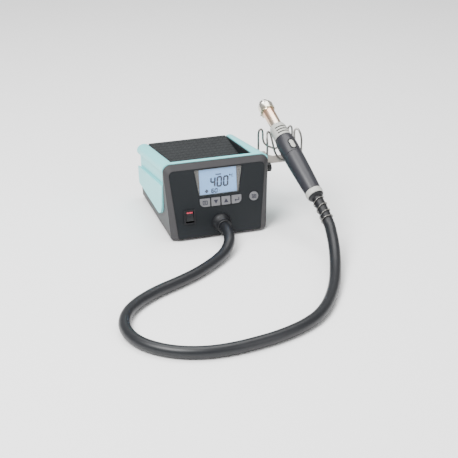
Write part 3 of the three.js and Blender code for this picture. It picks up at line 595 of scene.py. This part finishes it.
def cover_side(gap):
    """Side outline of everything that the cover takes, with its rounded front tongue."""
    a, b, c = (25 + gap, 46), (28 + gap, SPLIT_Z + gap), (50 + gap, SPLIT_Z + gap)
    tongue = [((1 - t) ** 2 * a[0] + 2 * t * (1 - t) * b[0] + t * t * c[0],
               (1 - t) ** 2 * a[1] + 2 * t * (1 - t) * b[1] + t * t * c[1])
              for t in [i / 14 for i in range(15)]]
    front = RIM_TOP_Y + 0.6 + gap
    return ([(front, RIM_TOP_Z + 8), (front, RIM_TOP_Z - 5)] + tongue
            + [(BACK_Y + 20, SPLIT_Z + gap), (BACK_Y + 20, RIM_TOP_Z + 8)])


def trapezoid(bottom, top, half_bottom, half_top, bottom_radius, top_radius):
    """Outline with rounded corners that widens from its bottom to its top."""
    corners = [
        (half_bottom - bottom_radius, bottom + bottom_radius, bottom_radius, -math.pi / 2),
        (half_top - top_radius, top - top_radius, top_radius, 0),
        (-(half_top - top_radius), top - top_radius, top_radius, math.pi / 2),
        (-(half_bottom - bottom_radius), bottom + bottom_radius, bottom_radius, math.pi)]
    return [(x + r * math.cos(a), z + r * math.sin(a))
            for x, z, r, start in corners for a in arc(start, math.pi / 2, 10)]


def panel_outline(inset):
    return trapezoid(1.2 + inset, 90 - inset, 55 - inset, 63 - inset, 3, 6)


def rim_outline():
    return trapezoid(0, (RIM_TOP_Z - FOOT_HEIGHT) / math.cos(LEAN_ANGLE), HALF_BOTTOM,
                     half_width(RIM_TOP_Z), 3, SHOULDER)


def at_depth(outline, depth):
    return [(x, depth, z) for x, z in outline]


def on_face(shape):
    return moved(shape, FACE)


def ahead_of(depth):
    """Everything in front of a plane that lies this deep in the leaning front."""
    return on_face(box(-100, 100, -60, depth, -30, 140))


SCREW_SPOTS = [(-56, 34), (56, 34), (-56, 137.5), (56, 137.5)]
TURBINE = (22, 74)
CLAMP_Y, CLAMP_Z = 26.8, 75


def tray_right(y):
    front, back = TRAY_RIGHT
    return front + (back - front) * (y - TRAY_FRONT_Y) / (BACK_Y - TRAY_FRONT_Y)


def tray_block(inset, y0, y1, z0, z1):
    """Block that follows the tray opening's plan, which narrows at the front right."""
    left = inset - TRAY_HALF
    return plan_prism([(left, y0), (tray_right(y0) - inset, y0), (tray_right(y1) - inset, y1),
                       (left, y1)], z0, z1)


def add_housing():
    body = less(loft([mirrored_ring(y, body_half(y)) for y in (2, BACK_Y)]),
                ahead_of(FACE_PROUD + 5))
    bezel = on_face(loft([at_depth(panel_outline(-0.3), 0), at_depth(rim_outline(), FACE_PROUD),
                          at_depth(rim_outline(), FACE_PROUD + 6)]))
    floor = FOOT_HEIGHT + WALL
    cavity = less(hollow(-10, BACK_Y + 5, 60.5, floor, WALL), ahead_of(8))
    shell = less(plus(body, bezel), cavity,
                 on_face(loft([at_depth(panel_outline(0), -1), at_depth(panel_outline(0), 2.7)])),
                 on_face(loft([at_depth(panel_outline(1.5), 1), at_depth(panel_outline(1.5), 12)])),
                 side_prism(cover_side(-GAP), -100, 100))
    bosses = [rod_z(4, FOOT_HEIGHT + 1, 19, x, y) for x, y in SCREW_SPOTS]
    holes = [rod_z(r, 0, z, x, y) for x, y in SCREW_SPOTS for r, z in ((1.8, 30), (3.8, 6.5))]
    x, y = TURBINE
    vents = [box(x - 16.5 + i * 6, x - 13.5 + i * 6, y - 14, y + 14, 0, floor + 1)
             for i in range(6)]
    shell = less(plus(shell, *bosses), *holes, *vents)
    piece("housing_shell", shell, "station", ANTHRACITE, "base_housing", bevel=0.5, segments=3,
          tidy=True)

    cover = less(shared(loft([mirrored_ring(y, cover_half(y)) for y in (5, BACK_Y)]),
                        side_prism(cover_side(0), -100, 100)),
                 hollow(0, BACK_Y + 1, 62.2, -10, WALL),
                 tray_block(0, TRAY_FRONT_Y, BACK_Y + 1, 0, 120),
                 rod_x(3, 60, 75, CLAMP_Y, CLAMP_Z))
    piece("cover_shell", cover, "station", TEAL, "top_cover", bevel=0.45, segments=3, tidy=True)
    refined("tool_tray", "station", PANEL, 0.3)


def rounded_box(x0, x1, y0, y1, z0, z1, r):
    """Slab with rounded corners in plan and a rounded upper edge, drawn about Z."""
    def outline(inset):
        radius = r - inset
        return [(x + radius * math.cos(a), y + radius * math.sin(a))
                for x, y, start in ((x1 - r, y1 - r, 0), (x0 + r, y1 - r, 90),
                                    (x0 + r, y0 + r, 180), (x1 - r, y0 + r, 270))
                for a in [math.radians(start + 30 * k) for k in range(4)]]
    soft = min(0.4, r * 0.5)
    levels = [(0, z0), (0, z1 - soft), (soft * 0.3, z1 - soft * 0.3), (soft, z1)]
    return loft([[(x, y, z) for x, y in outline(inset)] for inset, z in levels])


def add_mat():
    """Rubber mat: a thin sheet with raised pads in rows."""
    edge, columns, rows = GAP + 2.1, 17, 13
    left, y0 = edge - TRAY_HALF, TRAY_FRONT_Y + edge
    sheet = tray_block(edge, y0, BACK_Y - 0.4, MAT_Z - 2.2, MAT_Z - 0.5)
    pads, pitch_y = [], (BACK_Y - 1 - y0) / rows
    for j in range(rows):
        y = y0 + 0.3 + (j + 0.5) * pitch_y
        pitch_x = (tray_right(y) - edge - left - 1.2) / columns
        for i in range(columns):
            pad = rounded_box(-pitch_x / 2 + 0.7, pitch_x / 2 - 0.7, -pitch_y / 2 + 0.9,
                              pitch_y / 2 - 0.9, -0.9, 0, 0.9)
            x = left + 0.6 + (i + 0.5) * pitch_x
            pads.append(moved(pad, Matrix.Translation((x, y, MAT_Z))))
    piece("mat_sheet", sheet, "station", MAT, "tray_mat", bevel=0.3)
    piece("mat_pads", merged(*pads), "station", MAT, "tray_mat", sharp=50)


# ---- front panel -------------------------------------------------------------------------
KEY_BOTTOM, KEY_TOP = 39.6, 50.4
KEYS = [("key_menu", "menu_key", -24.5, -11.4), ("key_down", "down_key", -9.6, 2.0),
        ("key_up", "up_key", 3.8, 15.4), ("key_enter", "enter_key", 17.2, 30.2)]
BUTTON_AT = (47.0, 46.0)
BUTTON_RADIUS = 5.8
CAP_FRONT, CAP_BACK = -1.3, 5  # depths of a key cap's front and back
SKIRT_FRONT, SKIRT_BACK = 4.2, 5.6  # the wider skirt that keeps a cap behind the panel
SYMBOL_DEPTH, SYMBOL_THICKNESS = -1.1, 0.12
SWITCH_AT = (-38.8, 28.9)
ROCKER_HALF, ROCKER_TILT = 6.2, math.radians(10)
SCREEN_LEFT, SCREEN_RIGHT = -23.5, 25.5


def rounded_outline(x0, x1, z0, z1, radii):
    """Rectangle with a radius for each corner, from bottom left anticlockwise."""
    steps = 8
    spots = [(x0, z0, 180, 1, 1), (x1, z0, 270, -1, 1), (x1, z1, 0, -1, -1), (x0, z1, 90, 1, -1)]
    result = []
    for (x, z, start, sx, sz), r in zip(spots, radii):
        result += [(x + sx * r + r * math.cos(math.radians(start + 90 * i / steps)),
                    z + sz * r + r * math.sin(math.radians(start + 90 * i / steps)))
                   for i in range(steps + 1)]
    return result


def key_outline(name, x0, x1, grow):
    left = 6 if name == "key_menu" else 0.7
    right = 6 if name == "key_enter" else 0.7
    return rounded_outline(x0 - grow, x1 + grow, KEY_BOTTOM - grow, KEY_TOP + grow,
                           [left, right, 0.7, 0.7])


def window_outline(grow):
    x, bottom, top, half_bottom, half_top = 1.5, 54, 88, 26, 31.6
    return [(x - half_bottom - grow, bottom - grow), (x + half_bottom + grow, bottom - grow),
            (x + half_top + grow, top + grow), (x - half_top - grow, top + grow)]


def symbol_prism(outline):
    return front_prism(outline, SYMBOL_DEPTH - SYMBOL_THICKNESS, SYMBOL_DEPTH)


def bar(x0, z0, x1, z1, width):
    """Flat printed stroke from one point to another."""
    a, b = Vector((x0, z0)), Vector((x1, z1))
    n = (b - a).normalized().orthogonal() * width / 2
    return symbol_prism([tuple(a + n), tuple(a - n), tuple(b - n), tuple(b + n)])


def key_symbol(name, x0, x1):
    cx, cz = (x0 + x1) / 2, (KEY_BOTTOM + KEY_TOP) / 2
    if name == "key_up":
        return symbol_prism([(cx - 3, cz - 2.5), (cx + 3, cz - 2.5), (cx, cz + 2.8)])
    if name == "key_down":
        return symbol_prism([(cx, cz - 2.8), (cx + 3, cz + 2.5), (cx - 3, cz + 2.5)])
    if name == "key_menu":
        frame_bars = [(-2.8, -2.4, 2.8, -2.4), (2.8, -2.4, 2.8, 2.4), (2.8, 2.4, -2.8, 2.4),
                      (-2.8, 2.4, -2.8, -2.4), (-1.4, 0.9, 1.4, 0.9), (-1.4, -0.9, 1.4, -0.9)]
        return merged(*[bar(cx + a, cz + b, cx + c, cz + d, 0.9)
                        for a, b, c, d in frame_bars])
    strokes = [(2.8, 2.2, 2.8, -1.2), (3.05, -1.0, -1.4, -1.0)]
    head = symbol_prism([(cx - 3, cz - 1), (cx - 0.9, cz - 2.9), (cx - 0.9, cz + 0.9)])
    return merged(head, *[bar(cx + a, cz + b, cx + c, cz + d, 1.1) for a, b, c, d in strokes])


def dished(outline):
    """Key cap: rounded front edge and a slightly sunken middle."""
    soft = 0.45
    cx = sum(p[0] for p in outline) / len(outline)
    cz = sum(p[1] for p in outline) / len(outline)

    def scaled(amount):
        out = []
        for x, z in outline:
            v = Vector((x - cx, z - cz))
            v *= max(0.0, 1 - amount / max(v.length, 1e-6))
            out.append((cx + v.x, cz + v.y))
        return out

    return loft([at_depth(outline, CAP_BACK), at_depth(outline, CAP_FRONT + soft),
                 at_depth(scaled(soft * 0.3), CAP_FRONT + soft * 0.3),
                 at_depth(scaled(soft), CAP_FRONT), at_depth(scaled(1.6), CAP_FRONT + 0.08),
                 at_depth(scaled(2.8), CAP_FRONT + 0.16)])


SEGMENTS = {"0": "abcdef", "4": "fgbc", "6": "afgedc"}
LCD_INK_DEPTH, LCD_INK_THICKNESS = 2.32, 0.08
FIGURE_LEAN = 0.08  # the figures lean right by this much of their height
STROKE_END = 0.15  # a segment's points reach past its ends by this much of its width


def ink(outline):
    return front_prism(outline, LCD_INK_DEPTH - LCD_INK_THICKNESS, LCD_INK_DEPTH)


def digit(glyph, x, z, width, height, stroke):
    """Seven-segment figure with bevelled stroke ends, lower left corner at x, z."""
    w, h, s = width, height, stroke
    spots = {"a": (0, h, w, h), "g": (0, h / 2, w, h / 2), "d": (0, 0, w, 0), "f": (0, h / 2, 0, h),
             "b": (w, h / 2, w, h), "e": (0, 0, 0, h / 2), "c": (w, 0, w, h / 2)}
    shapes = []
    for name in SEGMENTS[glyph]:
        x0, z0, x1, z1 = spots[name]
        a, b = Vector((x + x0, z + z0)), Vector((x + x1, z + z1))
        d = (b - a).normalized()
        n = Vector((-d.y, d.x)) * s / 2
        a, b = a - d * STROKE_END * s, b + d * STROKE_END * s
        inner = d * s / 2
        shapes.append([tuple(a), tuple(a + inner - n), tuple(b - inner - n), tuple(b),
                       tuple(b - inner + n), tuple(a + inner + n)])
    return [ink([(px + (pz - z) * FIGURE_LEAN, pz) for px, pz in shape]) for shape in shapes]


def lcd_figures():
    """400 with a degree mark, a small fan symbol and the air flow figure 60."""
    shapes = []
    for i, glyph in enumerate("400"):
        shapes += digit(glyph, -8.8 + i * 8.5, 64.0, 5.2, 11.8, 2.2)
    for i, glyph in enumerate("60"):
        shapes += digit(glyph, -8.0 + i * 4.4, 56.4, 2.9, 4.6, 1.25)
    shapes.append(ink(circle(1.1, 17.0, 77.0, 12)))
    shapes += [ink(rectangle(18.9, 19.6, 74.4, 77.7)), ink(rectangle(19.6, 21.2, 77.1, 77.7)),
               ink(rectangle(19.6, 21.2, 74.4, 75.0))]
    for k in range(4):
        a = math.pi / 2 * k
        blade = [(0.0, 0), (1.6, -1.3), (2.6, 0), (1.6, 1.3)]
        shapes.append(ink([(-14.4 + x * math.cos(a) - z * math.sin(a),
                            59.0 + x * math.sin(a) + z * math.cos(a)) for x, z in blade]))
    for i in range(5):
        x, z = -1.8 + i * 1.5, 79.4
        shapes.append(ink(rectangle(x, x + 1.2, z - 0.9, z + 0.9)))
    shapes.append(ink([(1.3, 56.7), (1.8, 56.7), (3.0, 59.1), (2.5, 59.1)]))
    return merged(*shapes)


def add_front():
    x, z = SWITCH_AT
    panel = front_prism(panel_outline(GAP), 0, 2.4)
    cuts = [front_prism(window_outline(GAP), -5, 10),
            *[front_prism(key_outline(name, x0, x1, GAP), -5, 10) for name, _, x0, x1 in KEYS],
            rod_y(BUTTON_RADIUS + GAP, -5, 10, *BUTTON_AT),
            box(x - 6.4, x + 6.4, -5, 10, z - 8.2, z + 8.2),
            rod_y(8.8, -30, 30, GLAND[0], GLAND[2] - FOOT_HEIGHT + 0.3)]
    piece("panel_shell", less(panel, *cuts), "station", PANEL, "front_panel", space=FACE,
          bevel=0.35, tidy=True)
    piece("window_glass", front_prism(window_outline(0), 0.3, 1.8), "station", WINDOW,
          "display_window", space=FACE, bevel=0.25)
    screen = rectangle(SCREEN_LEFT, SCREEN_RIGHT, 54.9, 87.1)
    border = less(front_prism(window_outline(-0.25), 1.95, 2.3), front_prism(screen, 1, 3))
    piece("window_border", border, "station", WINDOW_PRINT, "display_window", space=FACE)
    piece("lcd_cell", box(SCREEN_LEFT, SCREEN_RIGHT, 2.4, 6, 54.5, 87.9), "station", LCD,
          "lcd_module", space=FACE, bevel=0.2)
    piece("lcd_figures", lcd_figures(), "station", LCD_INK, "lcd_module", space=FACE)
    for name, body, x0, x1 in KEYS:
        cap = merged(dished(key_outline(name, x0, x1, 0)),
                     box(x0 - 0.6, x1 + 0.6, SKIRT_FRONT, SKIRT_BACK, KEY_BOTTOM - 0.6,
                         KEY_TOP + 0.6))
        piece(name + "_cap", cap, body, KEY, name, space=FACE, sharp=40)
        piece(name + "_symbol", key_symbol(name, x0, x1), body, INK, name, space=FACE)
    button = merged(dished(circle(BUTTON_RADIUS, *BUTTON_AT, 64)),
                    rod_y(BUTTON_RADIUS + 1.2, SKIRT_FRONT, SKIRT_BACK, *BUTTON_AT))
    piece("air_button_cap", button, "air_key", KEY, "air_button", space=FACE, sharp=40)
    wave = []
    for k in (-1, 0, 1):
        line = [(BUTTON_AT[0] - 3 + 0.5 * i, -1.16,
                 BUTTON_AT[1] + k * 1.9 + 0.5 * math.sin(i * math.pi / 3)) for i in range(13)]
        wave.append(sweep(line, 0.5, 8))
    piece("air_button_symbol", merged(*wave), "air_key", INK, "air_button", space=FACE)
    flange = rounded_outline(x - 7.5, x + 7.5, z - 9.3, z + 9.3, [1.2] * 4)
    bezel = plus(front_prism(flange, -1.4, -GAP), box(x - 6, x + 6, -1, 18, z - 7.8, z + 7.8))
    bezel = less(bezel, box(x - 5.4, x + 5.4, -6, 12, z - 7.6, z + 7.6))
    piece("switch_bezel", bezel, "station", BLACK, "switch_housing", space=FACE, bevel=0.35)
    pivot = FACE @ Matrix.Translation((x, 4.5, z)) @ Matrix.Rotation(-ROCKER_TILT, 4, "X")
    half = ROCKER_HALF
    heights = [-half + 0.62 * i for i in range(21)]
    front = [(-half + 1.0 * (1 - (t / half) ** 2), t) for t in heights]
    outline = front + [(-1, half), (3.2, 0), (-1, -half)]
    piece("rocker", side_prism(outline, -4.9, 4.9), "rocker_body", BLACK, "power_rocker",
          space=pivot, bevel=0.4, sharp=30)
    lens = [(-6.34, 5.6), (-6.05, 3.7), (-5.2, 3.7), (-5.2, 5.6)]
    piece("rocker_lens", side_prism(lens, -3.9, 3.9), "rocker_body", LAMP_RED, "power_rocker",
          space=pivot, bevel=0.12)


def add_gland():
    bell = turned([(4.6, -16), (8.3, -16), (8.8, -15.7), (9.1, -15), (9.1, -12.9), (8.9, -12.3),
                   (8.4, -11.8), (8.6, -10.8), (9.2, -9.5), (9.9, -8.0), (10.6, -6.6), (11.5, -5),
                   (12.2, -3.6), (12.6, -1.8), (12.7, 0), (12.7, 4), (4.6, 4)], 96)
    to_gland = Matrix.Translation((GLAND[0], 0, GLAND[2]))
    bell = less(moved(bell, to_gland), on_face(box(-60, 60, -GAP, 40, -20, 80)))
    barrel = moved(turned([(4.6, -6), (8, -6), (8, 9), (4.6, 9)], 96), to_gland)
    piece("gland_bell", plus(bell, barrel), "station", BLACK, "hose_gland", bevel=0.25,
          bevel_angle=50, sharp=38)


# ---- rear and underside ------------------------------------------------------------------
def add_rear():
    refined("rear_panel", "station", ANTHRACITE, 0.3)
    refined("mains_inlet", "station", BLACK, 0.4)
    refined("fuse_drawer", "fuse", BLACK, 0.3)
    refined("filter_cover", "filter_cap", BLACK, 0.3, sharp=30)
    refined("earth_socket", "station", BRASS, 0.2)
    refined("air_filter", "station", FOAM, 0.8)
    pins = [rounded_box(x - 1, x + 1, z - 2, z + 2, -147, -140.3, 0.5)
            for x, z in ((-39, 38), (-32, 42), (-25, 38))]
    upright = Matrix(((1, 0, 0, 0), (0, 0, -1, 0), (0, 1, 0, 0), (0, 0, 0, 1)))
    piece("inlet_pins", merged(*[moved(p, upright) for p in pins]), "station", BRASS,
          "mains_inlet", sharp=50)
    for i in range(1, 5):
        low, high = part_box(f"rubber_foot_{i}")
        back = ORIGIN.inverted() @ ((low + high) / 2) / MM
        foot = turned([(0, 0), (6.6, 0), (7.2, 0.3), (7.4, 0.9), (7.4, 2.4), (7.1, 2.7),
                       (0, 2.7)], 64)
        stand = Matrix.Translation((back.x, back.y, 0)) @ Matrix.Rotation(math.pi / 2, 4, "X")
        piece(f"foot_{i}", moved(foot, stand), "station", RUBBER, f"rubber_foot_{i}", sharp=50)


# ---- holder ------------------------------------------------------------------------------
CRADLE_X, PLATE_Z, WIRE_RADIUS, POST_X = 100.5, 77.5, 1.3, 23.5
FRONT_CRADLE_Y, REAR_CRADLE_Y = 37, 72.6
KNOB_FACE_X, KNOB_RADIUS, KNOB_LOBES = 72.3, 6.0, 7
FRONT_WIRE = [
    (POST_X, 0, 0.3), (POST_X, 0, 15), (POST_X, 0.4, 26), (POST_X - 0.7, 4, 34),
    (POST_X - 3.2, 8.4, 38.4), (POST_X - 6, 9.2, 37), (POST_X - 7.6, 7, 31.5), (15, 3, 23.5),
    (12.9, -1, 12.5), (8, -4, 4.4), (0, -5.5, 1.8)]
REAR_WIRE = [
    (POST_X, 0, 0.3), (POST_X, 0, 14), (POST_X, 0, 27), (POST_X - 1, 0, 31), (POST_X - 3, 0, 32.6),
    (POST_X - 5, 0, 31), (POST_X - 6, 0, 26), (POST_X - 6.4, 0, 18), (POST_X - 9, 0, 11.5),
    (6, 0, 5.5), (0, 0, 3.4)]


def wire_form(half, y):
    right = [(CRADLE_X + dx, y + dy, PLATE_Z + dz) for dx, dy, dz in half]
    left = [(CRADLE_X - dx, y + dy, PLATE_Z + dz) for dx, dy, dz in reversed(half[:-1])]
    return sweep(resample(curve_points(right + left, 24), 260), WIRE_RADIUS, 20)


def add_holder():
    refined("holder_plate", "station", PLATE, 0.3)
    piece("front_wire", wire_form(FRONT_WIRE, FRONT_CRADLE_Y), "station", WIRE, "cradle_front",
          sharp=50)
    piece("rear_wire", wire_form(REAR_WIRE, REAR_CRADLE_Y), "station", WIRE, "cradle_rear",
          sharp=50)
    weld = turned([(0, 0.0), (2.5, 0.0), (2.3, 0.5), (1.9, 0.9), (1.4, 1.2), (0, 1.2)], 28)
    beads = []  # the rear wire's right leg is a free end, without a weld
    for side, y in ((-1, FRONT_CRADLE_Y), (1, FRONT_CRADLE_Y), (-1, REAR_CRADLE_Y)):
        stand = (Matrix.Translation((CRADLE_X + side * POST_X, y, PLATE_Z))
                 @ Matrix.Rotation(math.pi / 2, 4, "X"))
        beads.append(moved(weld, stand))
    piece("wire_welds", merged(*beads), "station", PLATE, "holder_plate", sharp=60)
    rings = []
    for inset, depth in ((0.5, 0), (0, 0.6), (0, 4.6), (0.4, 5.6), (1.2, 6.2), (2.4, 6.5)):
        ring = []
        for i in range(KNOB_LOBES * 12):
            a = 2 * math.pi * i / (KNOB_LOBES * 12)
            r = KNOB_RADIUS - inset - 0.45 * (1 + math.cos(KNOB_LOBES * a))
            ring.append((KNOB_FACE_X + depth, CLAMP_Y + r * math.cos(a),
                         CLAMP_Z + r * math.sin(a)))
        rings.append(ring)
    piece("knob", less(loft(rings), rod_x(2.7, 60, 75.4, CLAMP_Y, CLAMP_Z)), "knob", BLACK,
          "clamp_knob", sharp=42)


# ---- handset -----------------------------------------------------------------------------
BUTTON_Y = -18.5
SEAM_Y = -28.5
CLAMP_SCREW = (55, -12)
COIL_WIRE, COIL_START = 0.65, 1.2
OPEN_TURNS, OPEN_PITCH = 3, 10.3
CLOSED_TURNS, CLOSED_PITCH = 1, 2.6
COIL_STEPS = 360


def oval(half_wide, half_long, z0, z1, soft=0.0):
    """Long slab about the handset's button; soft rounds its upper edge."""
    def outline(inset):
        w, straight = half_wide - inset, half_long - half_wide
        return ([(w * math.cos(a), BUTTON_Y + straight + w * math.sin(a))
                 for a in arc(0, math.pi, 20)]
                + [(-w * math.cos(a), BUTTON_Y - straight - w * math.sin(a))
                   for a in arc(0, math.pi, 20)])

    levels = [(0, z0), (0, z1 - soft)]
    if soft:
        levels += [(soft * 0.13, z1 - soft * 0.5), (soft * 0.5, z1 - soft * 0.13), (soft, z1)]
    return loft([[(x, y, z) for x, y in outline(inset)] for inset, z in levels])


def smooth_profile(points):
    return [(p.x, p.y) for p in curve_points([(r, y, 0) for r, y in points], 5)]


def add_handset():
    outer = smooth_profile([(12.75, SEAM_Y + 0.6), (13.1, -16), (12.6, -4), (11.75, 0.4)])
    front = turned([(9.6, SEAM_Y), (12.6, SEAM_Y), (12.75, SEAM_Y + 0.15), *outer, (11.5, 0.9),
                    (11.2, 1.1), (9.6, 1.1)], 120)
    front = less(front, oval(3.45, 6.95, 5, 20), oval(4.7, 8.2, 12.25, 20))
    piece("grip_front", front, "handset", HANDLE, "handle_front", space=TOOL, sharp=30)
    ridge = less(oval(4.62, 8.12, 12.3, 13.35, 0.5), oval(3.5, 7.0, 10, 20))
    piece("button_surround", ridge, "handset", BLACK, "handle_front", space=TOOL, bevel=0.2,
          bevel_angle=60, sharp=38)
    piece("trigger_cap", merged(oval(3.1, 6.6, 7.6, 13.3, 0.9), oval(4.7, 8.2, 7.2, 8)), "trigger",
          LIGHT, "handset_button", space=TOOL, sharp=45)
    rear_outer = smooth_profile([(10.75, -88.9), (11.25, -79.5), (11.7, -69), (12.5, -47),
                                 (12.8, -32), (12.82, SEAM_Y - 0.8)])
    rear = turned([(8.4, -89.2), (10.4, -89.2), *rear_outer, (12.75, SEAM_Y - 0.45),
                   (12.6, SEAM_Y - GAP), (9.6, SEAM_Y - GAP)], 120)
    piece("grip_rear", rear, "handset", HANDLE, "handle_rear", space=TOOL, sharp=30)

    collar_outer = smooth_profile([(11.6, 2.0), (11.4, 9.5), (11, 17.5), (10, 21.1)])
    collar = turned([(8.4, 1.4), (11.3, 1.4), *collar_outer, (9.7, 21.8), (9.3, 22), (8.4, 22)],
                    120)
    slots = []
    for i in range(3):
        y = 4.5 + i * 4.3
        ring = less(rod_y(20, y, y + 1.9), rod_y(9.7, y - 1, y + 3))
        slots.append(shared(ring, box(-8.5, 8.5, y - 2, y + 4, 2, 30)))
    piece("collar", less(collar, *slots), "handset", LIGHT, "vent_collar", space=TOOL, bevel=0.22,
          bevel_angle=55, sharp=30)
    # Thin black rings at the floor of the collar's three shallow slots: painted shade, a dark sheet
    # that stands for the shade inside the vents.
    slot_shade_sheets = [turned([(9.62, y), (9.72, y), (9.72, y + 2.3), (9.62, y + 2.3)], 72)
             for y in (4.3, 8.6, 12.9)]
    piece("collar_slot_shade", merged(*slot_shade_sheets), "handset", BLACK, "vent_collar", space=TOOL)
    piece("tube", turned([(7.3, 6), (8, 6), (8, 54.8), (7.8, 55), (7.3, 55)], 96), "handset",
          HOT, "heater_tube", space=TOOL, sharp=40)
    refined("heater_core", "handset", CERAMIC, 0.1)

    tip = turned([(8.3, 49.5), (8.8, 49.5), (8.9, 49.8), (8.9, 60.0), (9.1, 60.4), (9.2, 60.9),
                  (9.1, 61.6), (8.8, 62.2), (8.1, 62.7), (7.1, 63.0), (6.4, 63.5), (6.3, 64),
                  (6.2, 66.0), (5.9, 66.4), (5.2, 66.4), (5, 66.2), (5, 62.6), (8.3, 58)], 96)
    piece("tip", tip, "nozzle_body", HOT_NOZZLE, "nozzle", space=TOOL, sharp=36)
    y, z = CLAMP_SCREW
    band = turned([(9.3, 50.6), (9.9, 50.6), (10.2, 51.0), (10.2, 52.6), (9.95, 53.1),
                   (9.95, 56.9), (10.2, 57.4), (10.2, 59.0), (9.9, 59.4), (9.3, 59.4)], 96)
    clamp = less(plus(band, box(-3.4, 3.4, 51.4, 58.6, -14.1, -9.8)),
                 rod_y(9.3, 40, 60.1), box(-0.8, 0.8, 40, 60.1, -20, -8), rod_x(1.7, -9, 9, y, z))
    piece("clamp_band", clamp, "nozzle_body", HOT_NOZZLE, "nozzle_clamp", space=TOOL, bevel=0.25,
          bevel_angle=50, sharp=32)
    screw = plus(rod_x(1.3, -6, 5, y, z, 32), rod_x(2.7, 3.8, 6, y, z, 32))
    screw = less(screw, box(5.3, 7, y - 3, y + 3, z - 0.4, z + 0.4))
    piece("clamp_band_screw", screw, "nozzle_screw", TURNED_STEEL, "nozzle_clamp_screw",
          space=TOOL, bevel=0.15, bevel_angle=50)

    ring = turned([(8.3, -89.5), (10.9, -89.5), (11.2, -89.8), (11.4, -91.4), (11.35, -93),
                   (11.1, -95.2), (10.8, -96.4), (10.4, -96.8), (9.2, -96.8), (8.8, -96.5),
                   (8.3, -95.4)], 96)
    piece("tail_ring", ring, "handset", LIGHT, "rear_ring", space=TOOL, sharp=40)
    core = turned([(0, -86), (8, -86), (8, -97.1), (9.9, -97.1), (10.2, -97.4), (10.1, -97.9),
                   (9.6, -98.6), (8.6, -99.7), (7.6, -100.7), (7.0, -101.2), (0, -101.2)], 64)
    line = [tail_point(-6 + (TAIL_LENGTH + 6) * i / 40) for i in range(41)]
    piece("tail_core", plus(core, sweep(line, SLEEVE_RADIUS, 40)), "handset", BLACK, "bend_relief",
          space=TOOL, sharp=40)
    spring = []
    radius = SLEEVE_RADIUS + COIL_WIRE + GAP
    for i in range(COIL_STEPS + 1):
        turn = (OPEN_TURNS + CLOSED_TURNS) * i / COIL_STEPS
        reach = (COIL_START + min(turn, OPEN_TURNS) * OPEN_PITCH
                 + max(turn - OPEN_TURNS, 0) * CLOSED_PITCH)
        a = 2 * math.pi * turn
        spring.append(tail_point(reach) + Vector((radius * math.cos(a), 0, radius * math.sin(a))))
    piece("tail_spring", sweep(spring, COIL_WIRE, 16, dome=0.6), "handset", WIRE, "bend_spring",
          space=TOOL, sharp=60)


# ---- inside: CAD nodes with their own finish ---------------------------------------------
INSIDE = {
    "display_board": CIRCUIT, "main_board": CIRCUIT, "control_board": CIRCUIT, "gland_nut": BLACK,
    "turbine_housing": BLACK, "turbine_impeller": LIGHT, "turbine_motor": STEEL, "air_duct": RUBBER,
    "transformer": COPPER, "clamp_screw": STEEL}
INSIDE.update({f"housing_screw_{i}": STEEL for i in range(1, 5)})


def finish_inside():
    for name, look in INSIDE.items():
        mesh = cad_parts[name].data
        mesh.materials.clear()
        mesh.materials.append(look.material)


# ---- stage and light ---------------------------------------------------------------------
def add_stage():
    bpy.ops.mesh.primitive_plane_add(size=8, location=(0, 0, 0))
    floor = bpy.context.object
    floor.name = "floor"
    ground = Look("pale_floor", None, (0.94, 0.94, 0.94), 0.7, vary=0.01, patch=1.0, bump=0.0)
    floor.data.materials.append(ground.material)


def add_light(name, place, aim, size, power):
    data = bpy.data.lights.new(name, "AREA")
    data.shape, data.size, data.size_y = "RECTANGLE", *size
    data.energy = power
    light = bpy.data.objects.new(name, data)
    bpy.context.scene.collection.objects.link(light)
    light.location = place
    light.rotation_euler = (Vector(aim) - Vector(place)).to_track_quat("-Z", "Y").to_euler()


def add_world():
    world = bpy.data.worlds.new("studio")
    world.use_nodes = True
    back = world.node_tree.nodes["Background"]
    back.inputs["Color"].default_value = (1, 1, 1, 1)
    back.inputs["Strength"].default_value = 0.55
    bpy.context.scene.world = world


add_housing()
add_mat()
add_front()
add_gland()
add_rear()
add_holder()
add_handset()
finish_inside()
add_stage()
add_world()
add_light("key", (-1.0, -0.7, 1.6), (0, 0, 0.05), (1.0, 1.0), 75)
add_light("fill", (0.9, -1.4, 0.9), (0, 0, 0.05), (0.9, 1.2), 10)
add_light("top", (0.1, 0.3, 1.6), (0, 0, 0.0), (1.4, 1.0), 30)
